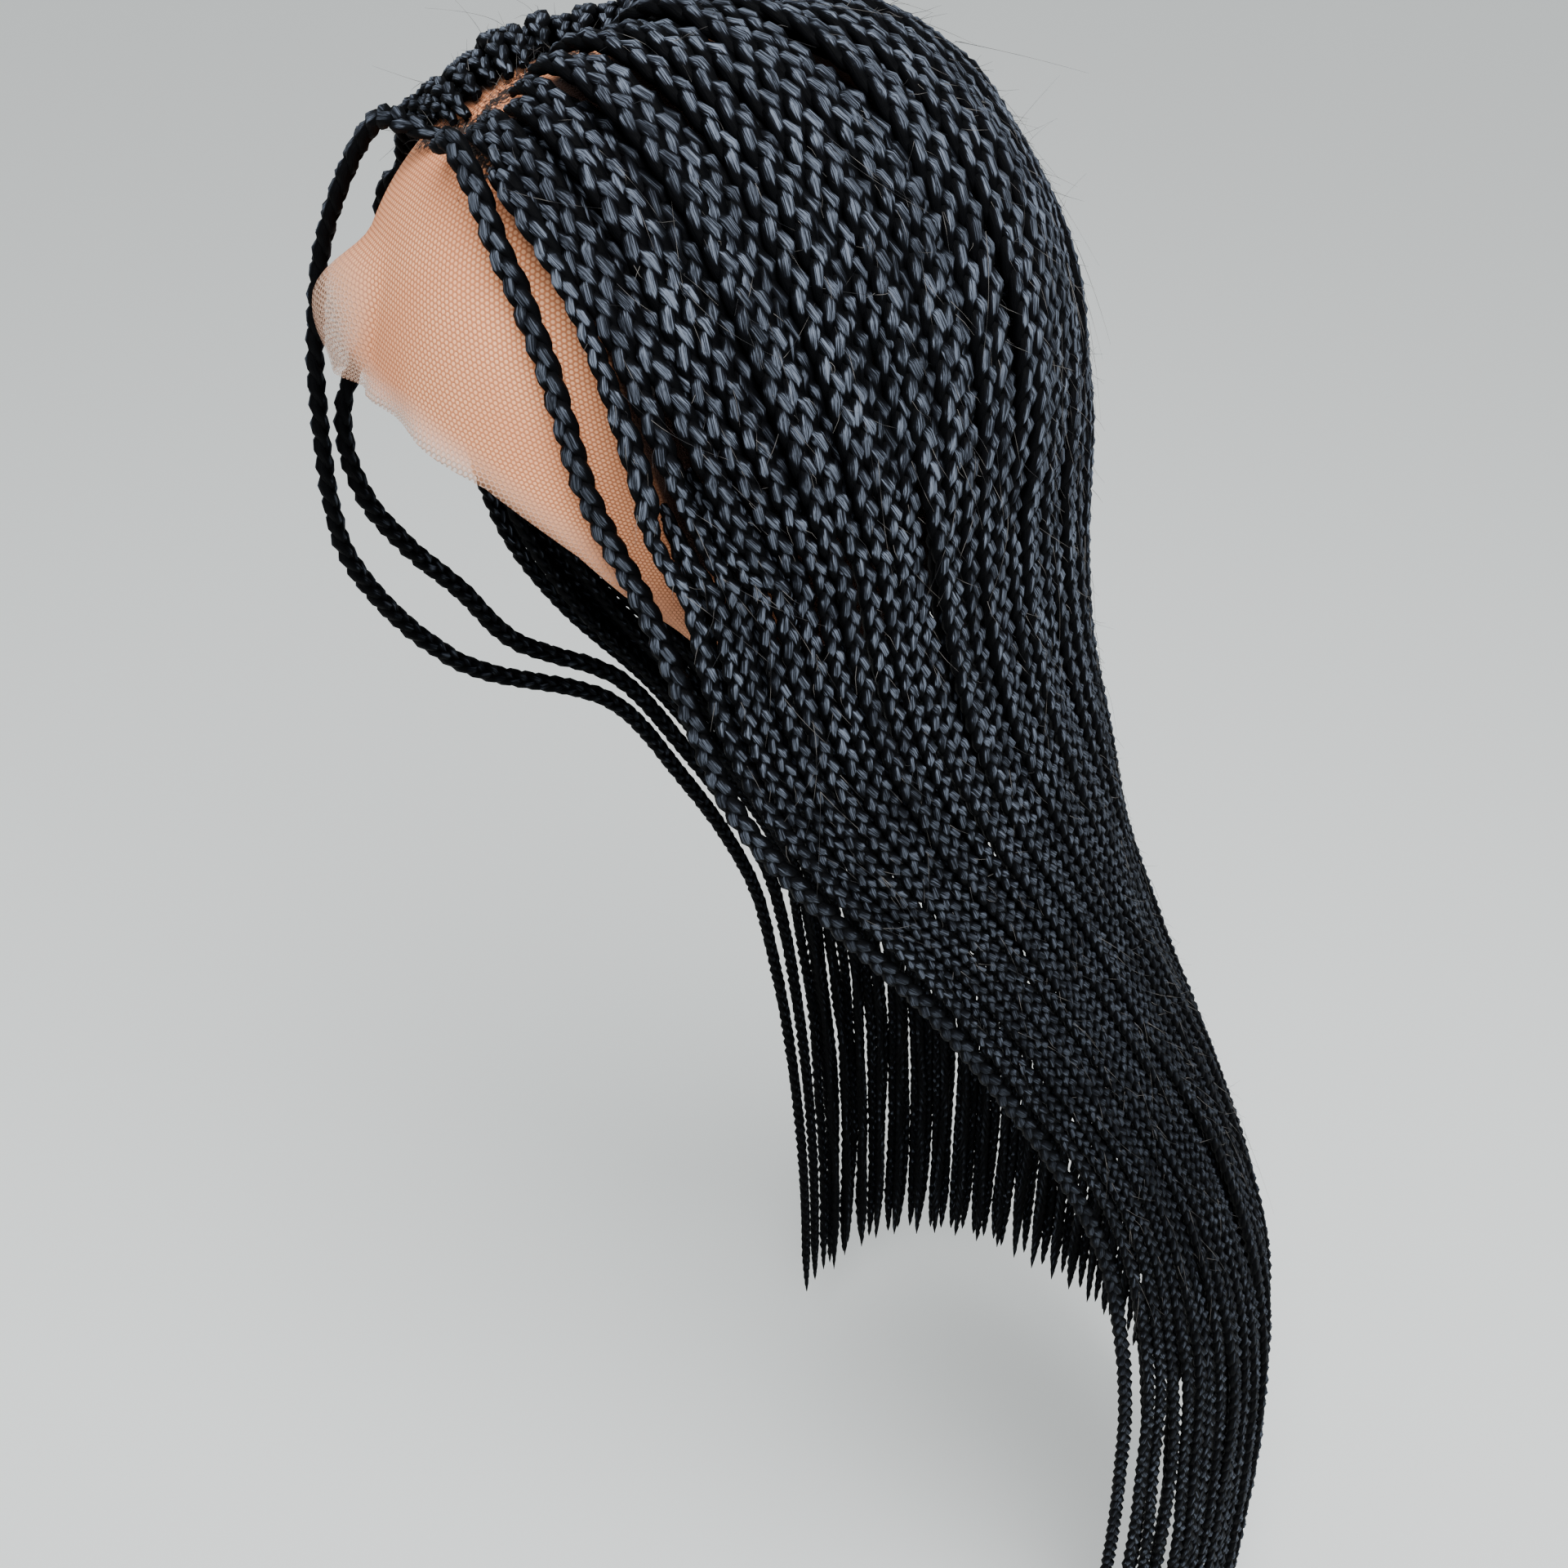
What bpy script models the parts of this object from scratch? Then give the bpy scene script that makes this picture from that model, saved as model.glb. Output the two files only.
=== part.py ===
# Braid wig: a lace cap with black plaits hung from it, parted at the centre and swept back.
# Metres, +Z up, face towards -Y, the wearer's left at +X.
# The origin is the inside top of the cap, where the wig sits on a head.
import math
from collections import namedtuple

import bmesh
import bpy
import numpy as np

COLLECTION_NAME = "braid_wig"

# Head form inside the cap, a rounded box between a ball and a cube
HEAD_UP = 0.100
HEAD_CENTRE = np.array([0.0, 0.0, -HEAD_UP])
HEAD_HALF_WIDTH = 0.074
HEAD_FRONT = 0.096
HEAD_BACK = 0.098
HEAD_SQUARENESS = 2.4

# Lace cap
CAP_WALL = 0.0012
CAP_SEGMENTS = 36
CAP_ROWS = 10
LaceEdge = namedtuple("LaceEdge", "angle height")
LACE_EDGE = (
    LaceEdge(0, -0.082),
    LaceEdge(15, -0.085),
    LaceEdge(30, -0.095),
    LaceEdge(45, -0.113),
    LaceEdge(60, -0.136),
    LaceEdge(75, -0.160),
    LaceEdge(84, -0.160),
    LaceEdge(93, -0.118),
    LaceEdge(103, -0.110),
    LaceEdge(117, -0.130),
    LaceEdge(133, -0.166),
    LaceEdge(155, -0.190),
    LaceEdge(180, -0.198),
)
# The uncut lace springs away from the brow at its right corner and curls back a little at its edge
FLAP_ANGLE = -20.0
FLAP_HALF_ANGLE = 20.0
FLAP_LIFT = 0.016
FLAP_START = 0.66
FLAP_FULL = 0.88
FLAP_CURL = 0.55

# Hair roots: up the hairline, then back along the parting, then round its end
PARTING_FRONT_ANGLE = 54.0
PARTING_BACK_ANGLE = 128.0
HAIRLINE_TURN = 18.0
HAIRLINE_RISE = 48.0
HAIRLINE_SHARE = 0.12
PARTING_SHARE = 0.80
PARTING_GAP = 0.0015
WHORL_RADIUS = 0.008

# Hair thickness above the head form
ROOT_LIFT = 0.005
CROWN_EXTRA_LIFT = 0.009
OUTER_DEPTH = 0.003
INNER_DEPTH = 0.009
INNER_LIFT = 0.0029
ROOTED_SHARE = 0.55
BOW_FRONT = 0.14
BOW_BACK = 0.05
BOW_FADE = 0.45
BOW_PEAK = 27 / 4

# Level outlines of the hanging hair, from ear height to the tips
Section = namedtuple("Section", "height centre half_width half_depth front_angle")
SECTIONS = (
    Section(-0.120, 0.0110, 0.0930, 0.1250, 64.2),
    Section(-0.150, 0.0135, 0.0960, 0.1245, 65.4),
    Section(-0.185, 0.0205, 0.0990, 0.1230, 67.9),
    Section(-0.220, 0.0325, 0.1020, 0.1200, 72.0),
    Section(-0.270, 0.054, 0.106, 0.112, 80),
    Section(-0.330, 0.086, 0.114, 0.102, 83),
    Section(-0.400, 0.121, 0.126, 0.100, 84),
    Section(-0.480, 0.154, 0.138, 0.098, 76),
    Section(-0.580, 0.175, 0.142, 0.096, 70),
    Section(-0.730, 0.185, 0.142, 0.092, 66),
)
TIP_HEIGHT = -0.700
TIP_STAGGER = 0.008
ARC_STEPS = 240

# Locks: each is one bundle of neighbouring plaits
LOCKS_PER_REGION = 6
REGIONS = ("front", "side", "back")
HEAD_STATIONS = 11
HANGING_STATIONS = 10
HANGING_SPREAD = 1.15
LOCK_GAP = 0.0005
EDGE_DROP = 0.0018
SHOULDER_SHARE = 0.25

# Face plaits: single plaits left loose in front of the others
PLAIT_RADIUS = 0.0037
PLAIT_SEAT_GAP = 0.0010
PLAIT_POINTS = 32
PLAIT_POINT_SPREAD = 1.35
PLAIT_BEVEL_RESOLUTION = 1
RoutePoint = namedtuple("RoutePoint", "x y z")
LEFT_ROUTE = (
    RoutePoint(0.0050, -0.0710, -0.0148),
    RoutePoint(0.0120, -0.0752, -0.0140),
    RoutePoint(0.0205, -0.0746, -0.0112),
    RoutePoint(0.0290, -0.0745, -0.0155),
    RoutePoint(0.0380, -0.0738, -0.0235),
    RoutePoint(0.0440, -0.0730, -0.0320),
    RoutePoint(0.0520, -0.0700, -0.0445),
    RoutePoint(0.0580, -0.0680, -0.0555),
    RoutePoint(0.0640, -0.0656, -0.0714),
    RoutePoint(0.0670, -0.0630, -0.0866),
    RoutePoint(0.0700, -0.0580, -0.1030),
    RoutePoint(0.0735, -0.0505, -0.1207),
    RoutePoint(0.0800, -0.0430, -0.1450),
)
RIGHT_ROUTE = (
    RoutePoint(-0.0050, -0.0710, -0.0148),
    RoutePoint(-0.0150, -0.0762, -0.0152),
    RoutePoint(-0.0250, -0.0770, -0.0160),
    RoutePoint(-0.0325, -0.0785, -0.0205),
    RoutePoint(-0.0390, -0.0825, -0.0300),
    RoutePoint(-0.0470, -0.0870, -0.0450),
    RoutePoint(-0.0540, -0.0900, -0.0595),
    RoutePoint(-0.0590, -0.0925, -0.0790),
    RoutePoint(-0.0620, -0.0940, -0.0985),
    RoutePoint(-0.0645, -0.0940, -0.1175),
    RoutePoint(-0.0680, -0.0930, -0.1415),
    RoutePoint(-0.0720, -0.0895, -0.1640),
    RoutePoint(-0.0790, -0.0755, -0.1930),
    RoutePoint(-0.0865, -0.0510, -0.2245),
)
RIGHT_INNER_ROUTE = (
    RoutePoint(-0.0410, -0.0670, -0.0370),
    RoutePoint(-0.0500, -0.0660, -0.0490),
    RoutePoint(-0.0580, -0.0660, -0.0640),
    RoutePoint(-0.0625, -0.0715, -0.0820),
    RoutePoint(-0.0640, -0.0790, -0.0970),
    RoutePoint(-0.0650, -0.0855, -0.1110),
    RoutePoint(-0.0670, -0.0860, -0.1270),
    RoutePoint(-0.0695, -0.0820, -0.1445),
    RoutePoint(-0.0765, -0.0660, -0.1720),
    RoutePoint(-0.0840, -0.0460, -0.1970),
    RoutePoint(-0.0915, -0.0280, -0.2235),
)
PLAIT_FIRST_OFFSET = 0.0062
PLAIT_SPACING = 0.0098
RoutedPlait = namedtuple("RoutedPlait", "name side route rank join_height")
FACE_PLAITS = (
    RoutedPlait("face_plait_left", 1, LEFT_ROUTE, 1, -0.190),
    RoutedPlait("face_plait_right_inner", -1, RIGHT_INNER_ROUTE, 1, -0.262),
    RoutedPlait("face_plait_right", -1, RIGHT_ROUTE, 2, -0.275),
)

# Colours and finish
LACE_COLOUR = (0.58, 0.36, 0.24, 1.0)
LACE_ROUGHNESS = 0.8
HAIR_COLOUR = (0.012, 0.013, 0.017, 1.0)
HAIR_SHADE_STEP = 0.0015
HAIR_SHADES = 4
HAIR_ROUGHNESS = 0.45


def smooth_curve(x, knots, values):
    """Read a table along a smooth curve through its rows."""
    knots = np.asarray(knots, float)
    values = np.asarray(values, float)
    slopes = np.gradient(values, knots)
    place = np.clip(np.searchsorted(knots, x) - 1, 0, len(knots) - 2)
    span = knots[place + 1] - knots[place]
    t = np.clip((x - knots[place]) / span, 0, 1)
    start = (1 + 2 * t) * (1 - t) ** 2 * values[place]
    end = t * t * (3 - 2 * t) * values[place + 1]
    start_slope = t * (1 - t) ** 2 * span * slopes[place]
    end_slope = t * t * (t - 1) * span * slopes[place + 1]
    return start + end + start_slope + end_slope


def direction(turn, rise):
    """A unit vector from the head's centre: turn from the face to the left ear, rise above level."""
    turn, rise = math.radians(turn), math.radians(rise)
    return np.array([math.sin(turn) * math.cos(rise), -math.cos(turn) * math.cos(rise), math.sin(rise)])


def head_radius(unit):
    """Distance from the head's centre to the head form along a unit vector."""
    depth = HEAD_FRONT if unit[1] < 0 else HEAD_BACK
    sizes = np.array([HEAD_HALF_WIDTH, depth, HEAD_UP])
    return float((np.abs(unit / sizes) ** HEAD_SQUARENESS).sum() ** (-1 / HEAD_SQUARENESS))


def on_head(unit, lift):
    return HEAD_CENTRE + unit * (head_radius(unit) + lift)


def section_values(height):
    """Centre, half width, half depth and front angle of the hanging hair at a height."""
    rows = SECTIONS[::-1]
    knots = [row.height for row in rows]
    return [float(smooth_curve(height, knots, [row[k] for row in rows])) for k in (1, 2, 3, 4)]


def hanging_point(share, height, outward=0.0):
    """A point of the hanging hair: share 0 is the front edge, 1 the middle of the back."""
    centre, half_width, half_depth, front = section_values(height)
    angles = np.radians(np.linspace(front, 180, ARC_STEPS))
    x = half_width * np.sin(angles)
    y = centre - half_depth * np.cos(angles)
    lengths = np.concatenate([[0], np.cumsum(np.hypot(np.diff(x), np.diff(y)))])
    angle = np.interp(share * lengths[-1], lengths, angles)
    normal = np.array([math.sin(angle) / half_width, -math.cos(angle) / half_depth, 0.0])
    normal /= np.linalg.norm(normal)
    point = np.array([half_width * math.sin(angle), centre - half_depth * math.cos(angle), height])
    return point + normal * outward


def front_offset(height, distance):
    """A point that lies in front of the hair's front edge, in line with it."""
    edge = hanging_point(0.0, height)
    step = hanging_point(0.02, height) - edge
    return edge - step / np.linalg.norm(step) * distance


def root_direction(share):
    """Where the hair at this share is rooted in the cap."""
    along = min(1.0, max(0.0, (share - HAIRLINE_SHARE) / (PARTING_SHARE - HAIRLINE_SHARE)))
    rise = PARTING_FRONT_ANGLE + (PARTING_BACK_ANGLE - PARTING_FRONT_ANGLE) * along
    down = max(0.0, 1 - share / HAIRLINE_SHARE)
    hairline = direction(HAIRLINE_TURN * down, rise + (HAIRLINE_RISE - rise) * down)
    return hairline, along


def over_head(share, travel):
    """Unit vector, middle lift and inner lift at a travel of 0 (root) to 1 (ear height)."""
    root, along = root_direction(share)
    edge = hanging_point(share, SECTIONS[0].height) - HEAD_CENTRE
    reach = np.linalg.norm(edge)
    goal = edge / reach
    turn = math.acos(float(np.clip(root @ goal, -1, 1)))
    clear = PARTING_GAP + WHORL_RADIUS * min(1.0, max(0.0, (share - 0.7) / 0.12))
    start = clear / (turn * head_radius(root))
    t = start + (1 - start) * travel
    unit = (math.sin((1 - t) * turn) * root + math.sin(t * turn) * goal) / math.sin(turn)
    bow = BOW_FRONT + (BOW_BACK - BOW_FRONT) * min(1.0, share / BOW_FADE)
    unit = unit + BOW_PEAK * t * (1 - t) ** 2 * bow * np.array([0.0, 1.0, 0.35])
    unit /= np.linalg.norm(unit)
    root_lift = ROOT_LIFT + CROWN_EXTRA_LIFT * along
    edge_lift = reach - head_radius(goal)
    middle = root_lift + (edge_lift - root_lift) * t ** 1.2
    leaving = min(1.0, max(0.0, (t - ROOTED_SHARE) / (1 - ROOTED_SHARE)))
    inner = INNER_LIFT + (middle - INNER_DEPTH - INNER_LIFT) * leaving ** 2
    return unit, middle, max(INNER_LIFT, inner)


def hair_station(share, station, tip_height):
    """Outer and inner point of the hair wall at one station from root to tip."""
    if station < HEAD_STATIONS:
        unit, middle, inner = over_head(share, station / (HEAD_STATIONS - 1))
        return on_head(unit, middle + OUTER_DEPTH), on_head(unit, inner)
    drop = ((station - HEAD_STATIONS + 1) / HANGING_STATIONS) ** HANGING_SPREAD
    height = SECTIONS[0].height + (TIP_HEIGHT - SECTIONS[0].height) * drop
    if station == HEAD_STATIONS + HANGING_STATIONS - 1:
        height = tip_height
    return hanging_point(share, height, OUTER_DEPTH), hanging_point(share, height, -INNER_DEPTH)


def lock_ring(first, last, station, tip_height, side):
    """The six corners of a lock's section: low outer edges, a raised middle and a flat back."""
    outer_a, inner_a = hair_station(first, station, tip_height)
    outer_b, inner_b = hair_station(last, station, tip_height)
    inset = LOCK_GAP / 2 / np.linalg.norm(outer_b - outer_a)
    outer_a, outer_b = outer_a + (outer_b - outer_a) * inset, outer_b + (outer_a - outer_b) * inset
    inset = LOCK_GAP / 2 / np.linalg.norm(inner_b - inner_a)
    inner_a, inner_b = inner_a + (inner_b - inner_a) * inset, inner_b + (inner_a - inner_b) * inset
    drop_a = (inner_a - outer_a) / np.linalg.norm(inner_a - outer_a) * EDGE_DROP
    drop_b = (inner_b - outer_b) / np.linalg.norm(inner_b - outer_b) * EDGE_DROP
    across = outer_b - outer_a
    ring = [
        outer_a + drop_a,
        outer_a + across * SHOULDER_SHARE,
        outer_b - across * SHOULDER_SHARE,
        outer_b + drop_b,
        inner_b,
        inner_a,
    ]
    return [(point[0] * side, point[1], point[2]) for point in ring]


def loft(name, rings):
    """Close a body through rings of corners; neighbours' side walls are folded the same way."""
    bm = bmesh.new()
    loops = [[bm.verts.new(point) for point in ring] for ring in rings]
    last = len(rings[0]) - 1
    for low, high in zip(loops, loops[1:]):
        for k in range(last):
            bm.faces.new((low[k], low[k + 1], high[k + 1]))
            bm.faces.new((low[k], high[k + 1], high[k]))
        bm.faces.new((low[last], low[0], high[last]))
        bm.faces.new((low[0], high[0], high[last]))
    bm.faces.new(loops[0][::-1])
    bm.faces.new(loops[-1])
    bmesh.ops.recalc_face_normals(bm, faces=bm.faces)
    mesh = bpy.data.meshes.new(name)
    bm.to_mesh(mesh)
    bm.free()
    mesh.shade_smooth()
    mesh.set_sharp_from_angle(angle=math.radians(50))
    return mesh


def principled(name, colour, roughness):
    material = bpy.data.materials.new(name)
    material.use_nodes = True
    shader = material.node_tree.nodes["Principled BSDF"]
    shader.inputs["Base Color"].default_value = colour
    shader.inputs["Roughness"].default_value = roughness
    shader.inputs["Metallic"].default_value = 0.0
    return material


def hair_material(name, index):
    shade = HAIR_SHADE_STEP * (index % HAIR_SHADES)
    colour = tuple(channel + shade for channel in HAIR_COLOUR[:3]) + (1.0,)
    return principled(name, colour, HAIR_ROUGHNESS)


def add_object(name, data, material, collection):
    piece = bpy.data.objects.new(name, data)
    piece.data.materials.append(material)
    collection.objects.link(piece)
    return piece


def lace_edge_height(turn):
    angles = [row.angle for row in LACE_EDGE]
    return float(np.interp(abs(turn), angles, [row.height for row in LACE_EDGE]))


def lace_edge_rise(turn):
    """The rise at which the head form meets the lace's lower edge."""
    low, high = -85.0, 85.0
    for _ in range(30):
        middle = (low + high) / 2
        if on_head(direction(turn, middle), 0.0)[2] < lace_edge_height(turn):
            low = middle
        else:
            high = middle
    return high


def flap_share(turn, polar):
    """How far the free lace stands off, from 0 to 1; polar is 0 at the crown and 1 at the edge."""
    near = max(0.0, 1 - abs(turn - FLAP_ANGLE) / FLAP_HALF_ANGLE)
    up = min(1.0, max(0.0, (polar - FLAP_START) / (FLAP_FULL - FLAP_START)))
    curl = max(0.0, (polar - FLAP_FULL) / (1 - FLAP_FULL))
    return near * up * up * (3 - 2 * up) * (1 - FLAP_CURL * curl ** 2)


def add_lace_cap(collection):
    bm = bmesh.new()
    bmesh.ops.create_uvsphere(bm, u_segments=CAP_SEGMENTS, v_segments=2 * CAP_ROWS, radius=1.0)
    below = [vert for vert in bm.verts if vert.co.z < -0.01]
    bmesh.ops.delete(bm, geom=below, context="VERTS")
    for vert in bm.verts:
        turn = math.degrees(math.atan2(vert.co.x, -vert.co.y))
        polar = math.acos(max(-1.0, min(1.0, vert.co.z))) / (math.pi / 2)
        rise = 90 - polar * (90 - lace_edge_rise(turn))
        vert.co = on_head(direction(turn, rise), FLAP_LIFT * flap_share(turn, polar))
    bmesh.ops.recalc_face_normals(bm, faces=bm.faces)
    mesh = bpy.data.meshes.new("lace_cap")
    bm.to_mesh(mesh)
    bm.free()
    mesh.shade_smooth()
    cap = add_object("lace_cap", mesh, principled("lace", LACE_COLOUR, LACE_ROUGHNESS), collection)
    wall = cap.modifiers.new("wall", "SOLIDIFY")
    wall.thickness = CAP_WALL
    wall.offset = 1.0
    return cap


def add_locks(collection):
    count = LOCKS_PER_REGION * len(REGIONS)
    for side, side_name in ((1, "left"), (-1, "right")):
        for index in range(count):
            region = REGIONS[index // LOCKS_PER_REGION]
            name = f"{side_name}_{region}_lock_{index % LOCKS_PER_REGION + 1}"
            tip = TIP_HEIGHT + TIP_STAGGER * math.sin(2.4 * index + side)
            stations = range(HEAD_STATIONS + HANGING_STATIONS)
            rings = [lock_ring(index / count, (index + 1) / count, k, tip, side) for k in stations]
            add_object(name, loft(name, rings), hair_material(name, index), collection)


def seated(point):
    """Move a plait's point out until the plait rests on the cap's outside."""
    reach = point - HEAD_CENTRE
    unit = reach / np.linalg.norm(reach)
    least = head_radius(unit) + CAP_WALL + PLAIT_RADIUS + PLAIT_SEAT_GAP
    return HEAD_CENTRE + unit * max(least, float(np.linalg.norm(reach)))


def face_plait_points(plait):
    """Route points from the root, then down the front edge of the hanging hair."""
    points = [np.array(point) for point in plait.route]
    heights = np.arange(plait.join_height, TIP_HEIGHT, -0.045)
    for height in list(heights) + [TIP_HEIGHT]:
        point = front_offset(height, PLAIT_FIRST_OFFSET + PLAIT_SPACING * (plait.rank - 1))
        points.append(point * np.array([plait.side, 1, 1]))
    points = np.array(points)
    travel = np.concatenate([[0], np.cumsum(np.linalg.norm(np.diff(points, axis=0), axis=1))])
    steps = travel[-1] * np.linspace(0, 1, PLAIT_POINTS) ** PLAIT_POINT_SPREAD
    smooth = np.stack([[smooth_curve(s, travel, points[:, k]) for s in steps] for k in range(3)], 1)
    return [seated(point) for point in smooth]


def add_face_plait(plait, index, collection):
    curve = bpy.data.curves.new(plait.name, "CURVE")
    curve.dimensions = "3D"
    curve.bevel_depth = PLAIT_RADIUS
    curve.bevel_resolution = PLAIT_BEVEL_RESOLUTION
    curve.use_fill_caps = True
    spline = curve.splines.new("POLY")
    points = face_plait_points(plait)
    spline.points.add(len(points) - 1)
    for target, point in zip(spline.points, points):
        target.co = (*point, 1.0)
    return add_object(plait.name, curve, hair_material(plait.name, index), collection)


def clear_scene():
    for item in list(bpy.data.objects):
        bpy.data.objects.remove(item)


def build():
    clear_scene()
    collection = bpy.data.collections.new(COLLECTION_NAME)
    bpy.context.scene.collection.children.link(collection)
    add_lace_cap(collection)
    add_locks(collection)
    for index, plait in enumerate(FACE_PLAITS):
        add_face_plait(plait, index, collection)


build()
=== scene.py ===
# %% [markdown]
# A braid wig, plait by plait.
# The wig is a lace cap with black three-strand braids knotted into it, parted at the centre,
# swept back over the head and left to hang. The CAD part holds the sizes: a thin cap, thirty-six
# locks that fill the room of the braids, and three loose braids in front of the face.
# This script keeps those sizes. It gives each lock its braids, each braid its strands, and the
# cap its net. It starts by loading the CAD part, which is never moved.

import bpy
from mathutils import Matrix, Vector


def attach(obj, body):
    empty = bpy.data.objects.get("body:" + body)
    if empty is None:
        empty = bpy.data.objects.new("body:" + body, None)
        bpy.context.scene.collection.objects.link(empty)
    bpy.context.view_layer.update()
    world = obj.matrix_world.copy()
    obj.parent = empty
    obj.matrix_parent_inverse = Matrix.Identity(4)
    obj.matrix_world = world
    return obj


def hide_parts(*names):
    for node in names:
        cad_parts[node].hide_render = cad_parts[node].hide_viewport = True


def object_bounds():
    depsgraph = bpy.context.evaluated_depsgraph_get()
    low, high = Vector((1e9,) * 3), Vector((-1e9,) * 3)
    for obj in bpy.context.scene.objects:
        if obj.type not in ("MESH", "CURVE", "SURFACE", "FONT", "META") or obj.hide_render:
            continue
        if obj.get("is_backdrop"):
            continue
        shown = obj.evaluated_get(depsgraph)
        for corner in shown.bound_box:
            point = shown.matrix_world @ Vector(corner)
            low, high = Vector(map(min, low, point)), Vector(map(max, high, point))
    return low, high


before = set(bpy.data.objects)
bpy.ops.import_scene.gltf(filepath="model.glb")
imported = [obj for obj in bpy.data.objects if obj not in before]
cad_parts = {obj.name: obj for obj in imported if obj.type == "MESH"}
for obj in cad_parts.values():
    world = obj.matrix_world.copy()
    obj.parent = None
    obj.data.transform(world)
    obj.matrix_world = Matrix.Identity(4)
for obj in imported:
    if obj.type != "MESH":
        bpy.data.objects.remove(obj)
cad_box = [list(corner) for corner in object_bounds()]
print("CAD nodes:", len(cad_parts))

# %% Tools
import math
from collections import namedtuple

import bmesh
import bpy
import numpy as np
from mathutils import Matrix, Vector

MM = 0.001
SEED = 7
random = np.random.default_rng(SEED)
SIDES = (("left", 1), ("right", -1))

# %% [markdown]
# The head form.
# Everything on the wig follows the head inside it, so the first helper gives that form: a
# rounded box between a ball and a cube, measured from its centre. A sphere would be too narrow
# at the temples. The numbers are the part's own, and a point is always the centre plus a
# direction times a distance, which makes it easy to lift something off the head by millimetres.

# %% Head form
HEAD_UP = 0.100
HEAD_CENTRE = np.array([0.0, 0.0, -HEAD_UP])
HEAD_HALF_WIDTH = 0.074
HEAD_FRONT = 0.096
HEAD_BACK = 0.098
HEAD_SQUARENESS = 2.4


def direction(turn, rise):
    """A unit vector from the head's centre: turn from the face to the left ear, rise above level."""
    turn, rise = math.radians(turn), math.radians(rise)
    return np.array([math.sin(turn) * math.cos(rise), -math.cos(turn) * math.cos(rise), math.sin(rise)])


def head_radius(unit):
    """Distance from the head's centre to the head form along a unit vector."""
    depth = HEAD_FRONT if unit[1] < 0 else HEAD_BACK
    sizes = np.array([HEAD_HALF_WIDTH, depth, HEAD_UP])
    return float((np.abs(unit / sizes) ** HEAD_SQUARENESS).sum() ** (-1 / HEAD_SQUARENESS))


def on_head(unit, lift):
    return HEAD_CENTRE + unit * (head_radius(unit) + lift)


print("head width over the ears:", 2 * head_radius(direction(90, 0)))

# %% [markdown]
# The sheet of hair.
# Braids lie side by side, so they are easiest to place on one imaginary sheet. Down the sheet
# run stations from the parting, over the head and on to the tips. Across it runs the share, from
# 0 at the front edge to 1 at the middle of the back. Below the ears the sheet follows a short
# table of level outlines, and above them an arc from the root to the first outline, bowed back
# as combed hair is.

# %% Hair sheet
PARTING_FRONT_ANGLE = 54.0
PARTING_BACK_ANGLE = 128.0
HAIRLINE_TURN = 18.0
HAIRLINE_RISE = 48.0
HAIRLINE_SHARE = 0.12
PARTING_SHARE = 0.80
PARTING_GAP = 0.0015
WHORL_RADIUS = 0.008
ROOT_LIFT = 0.005
CROWN_EXTRA_LIFT = 0.009
BOW_FRONT = 0.14
BOW_BACK = 0.05
BOW_FADE = 0.45
BOW_PEAK = 27 / 4
BOW_WAY = np.array([0.0, 1.0, 0.35])
WHORL_FROM = 0.7
WHORL_FADE = 0.12
LIFT_POWER = 1.2
Section = namedtuple("Section", "height centre half_width half_depth front_angle")
SECTIONS = (
    Section(-0.120, 0.0110, 0.0930, 0.1250, 64.2),
    Section(-0.150, 0.0135, 0.0960, 0.1245, 65.4),
    Section(-0.185, 0.0205, 0.0990, 0.1230, 67.9),
    Section(-0.220, 0.0325, 0.1020, 0.1200, 72.0),
    Section(-0.270, 0.054, 0.106, 0.112, 80),
    Section(-0.330, 0.086, 0.114, 0.102, 83),
    Section(-0.400, 0.121, 0.126, 0.100, 84),
    Section(-0.480, 0.154, 0.138, 0.098, 76),
    Section(-0.580, 0.175, 0.142, 0.096, 70),
    Section(-0.730, 0.185, 0.142, 0.092, 66),
)
TIP_HEIGHT = -0.700
ARC_STEPS = 240
HEAD_STATIONS = 36
HANGING_STATIONS = 72
SHARE_COLUMNS = 145


def smooth_curve(x, knots, values):
    """Read a table along a smooth curve through its rows."""
    knots = np.asarray(knots, float)
    values = np.asarray(values, float)
    slopes = np.gradient(values, knots)
    place = np.clip(np.searchsorted(knots, x) - 1, 0, len(knots) - 2)
    span = knots[place + 1] - knots[place]
    t = np.clip((x - knots[place]) / span, 0, 1)
    start = (1 + 2 * t) * (1 - t) ** 2 * values[place]
    end = t * t * (3 - 2 * t) * values[place + 1]
    start_slope = t * (1 - t) ** 2 * span * slopes[place]
    end_slope = t * t * (t - 1) * span * slopes[place + 1]
    return start + end + start_slope + end_slope


def section_value(height, column):
    rows = SECTIONS[::-1]
    return smooth_curve(height, [row.height for row in rows], [getattr(row, column) for row in rows])


def hanging_row(shares, height):
    """Points of the hanging hair at one height, for several shares."""
    half_width = section_value(height, "half_width")
    half_depth = section_value(height, "half_depth")
    angles = np.radians(np.linspace(section_value(height, "front_angle"), 180, ARC_STEPS))
    x = half_width * np.sin(angles)
    y = section_value(height, "centre") - half_depth * np.cos(angles)
    lengths = np.concatenate([[0], np.cumsum(np.hypot(np.diff(x), np.diff(y)))])
    place = shares * lengths[-1]
    columns = [np.interp(place, lengths, x), np.interp(place, lengths, y), np.full_like(place, height)]
    return np.stack(columns, 1)


def root_direction(share):
    """Where the hair at this share is rooted, and how far back along the parting that is."""
    along = min(1.0, max(0.0, (share - HAIRLINE_SHARE) / (PARTING_SHARE - HAIRLINE_SHARE)))
    rise = PARTING_FRONT_ANGLE + (PARTING_BACK_ANGLE - PARTING_FRONT_ANGLE) * along
    down = max(0.0, 1 - share / HAIRLINE_SHARE)
    return direction(HAIRLINE_TURN * down, rise + (HAIRLINE_RISE - rise) * down), along


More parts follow.
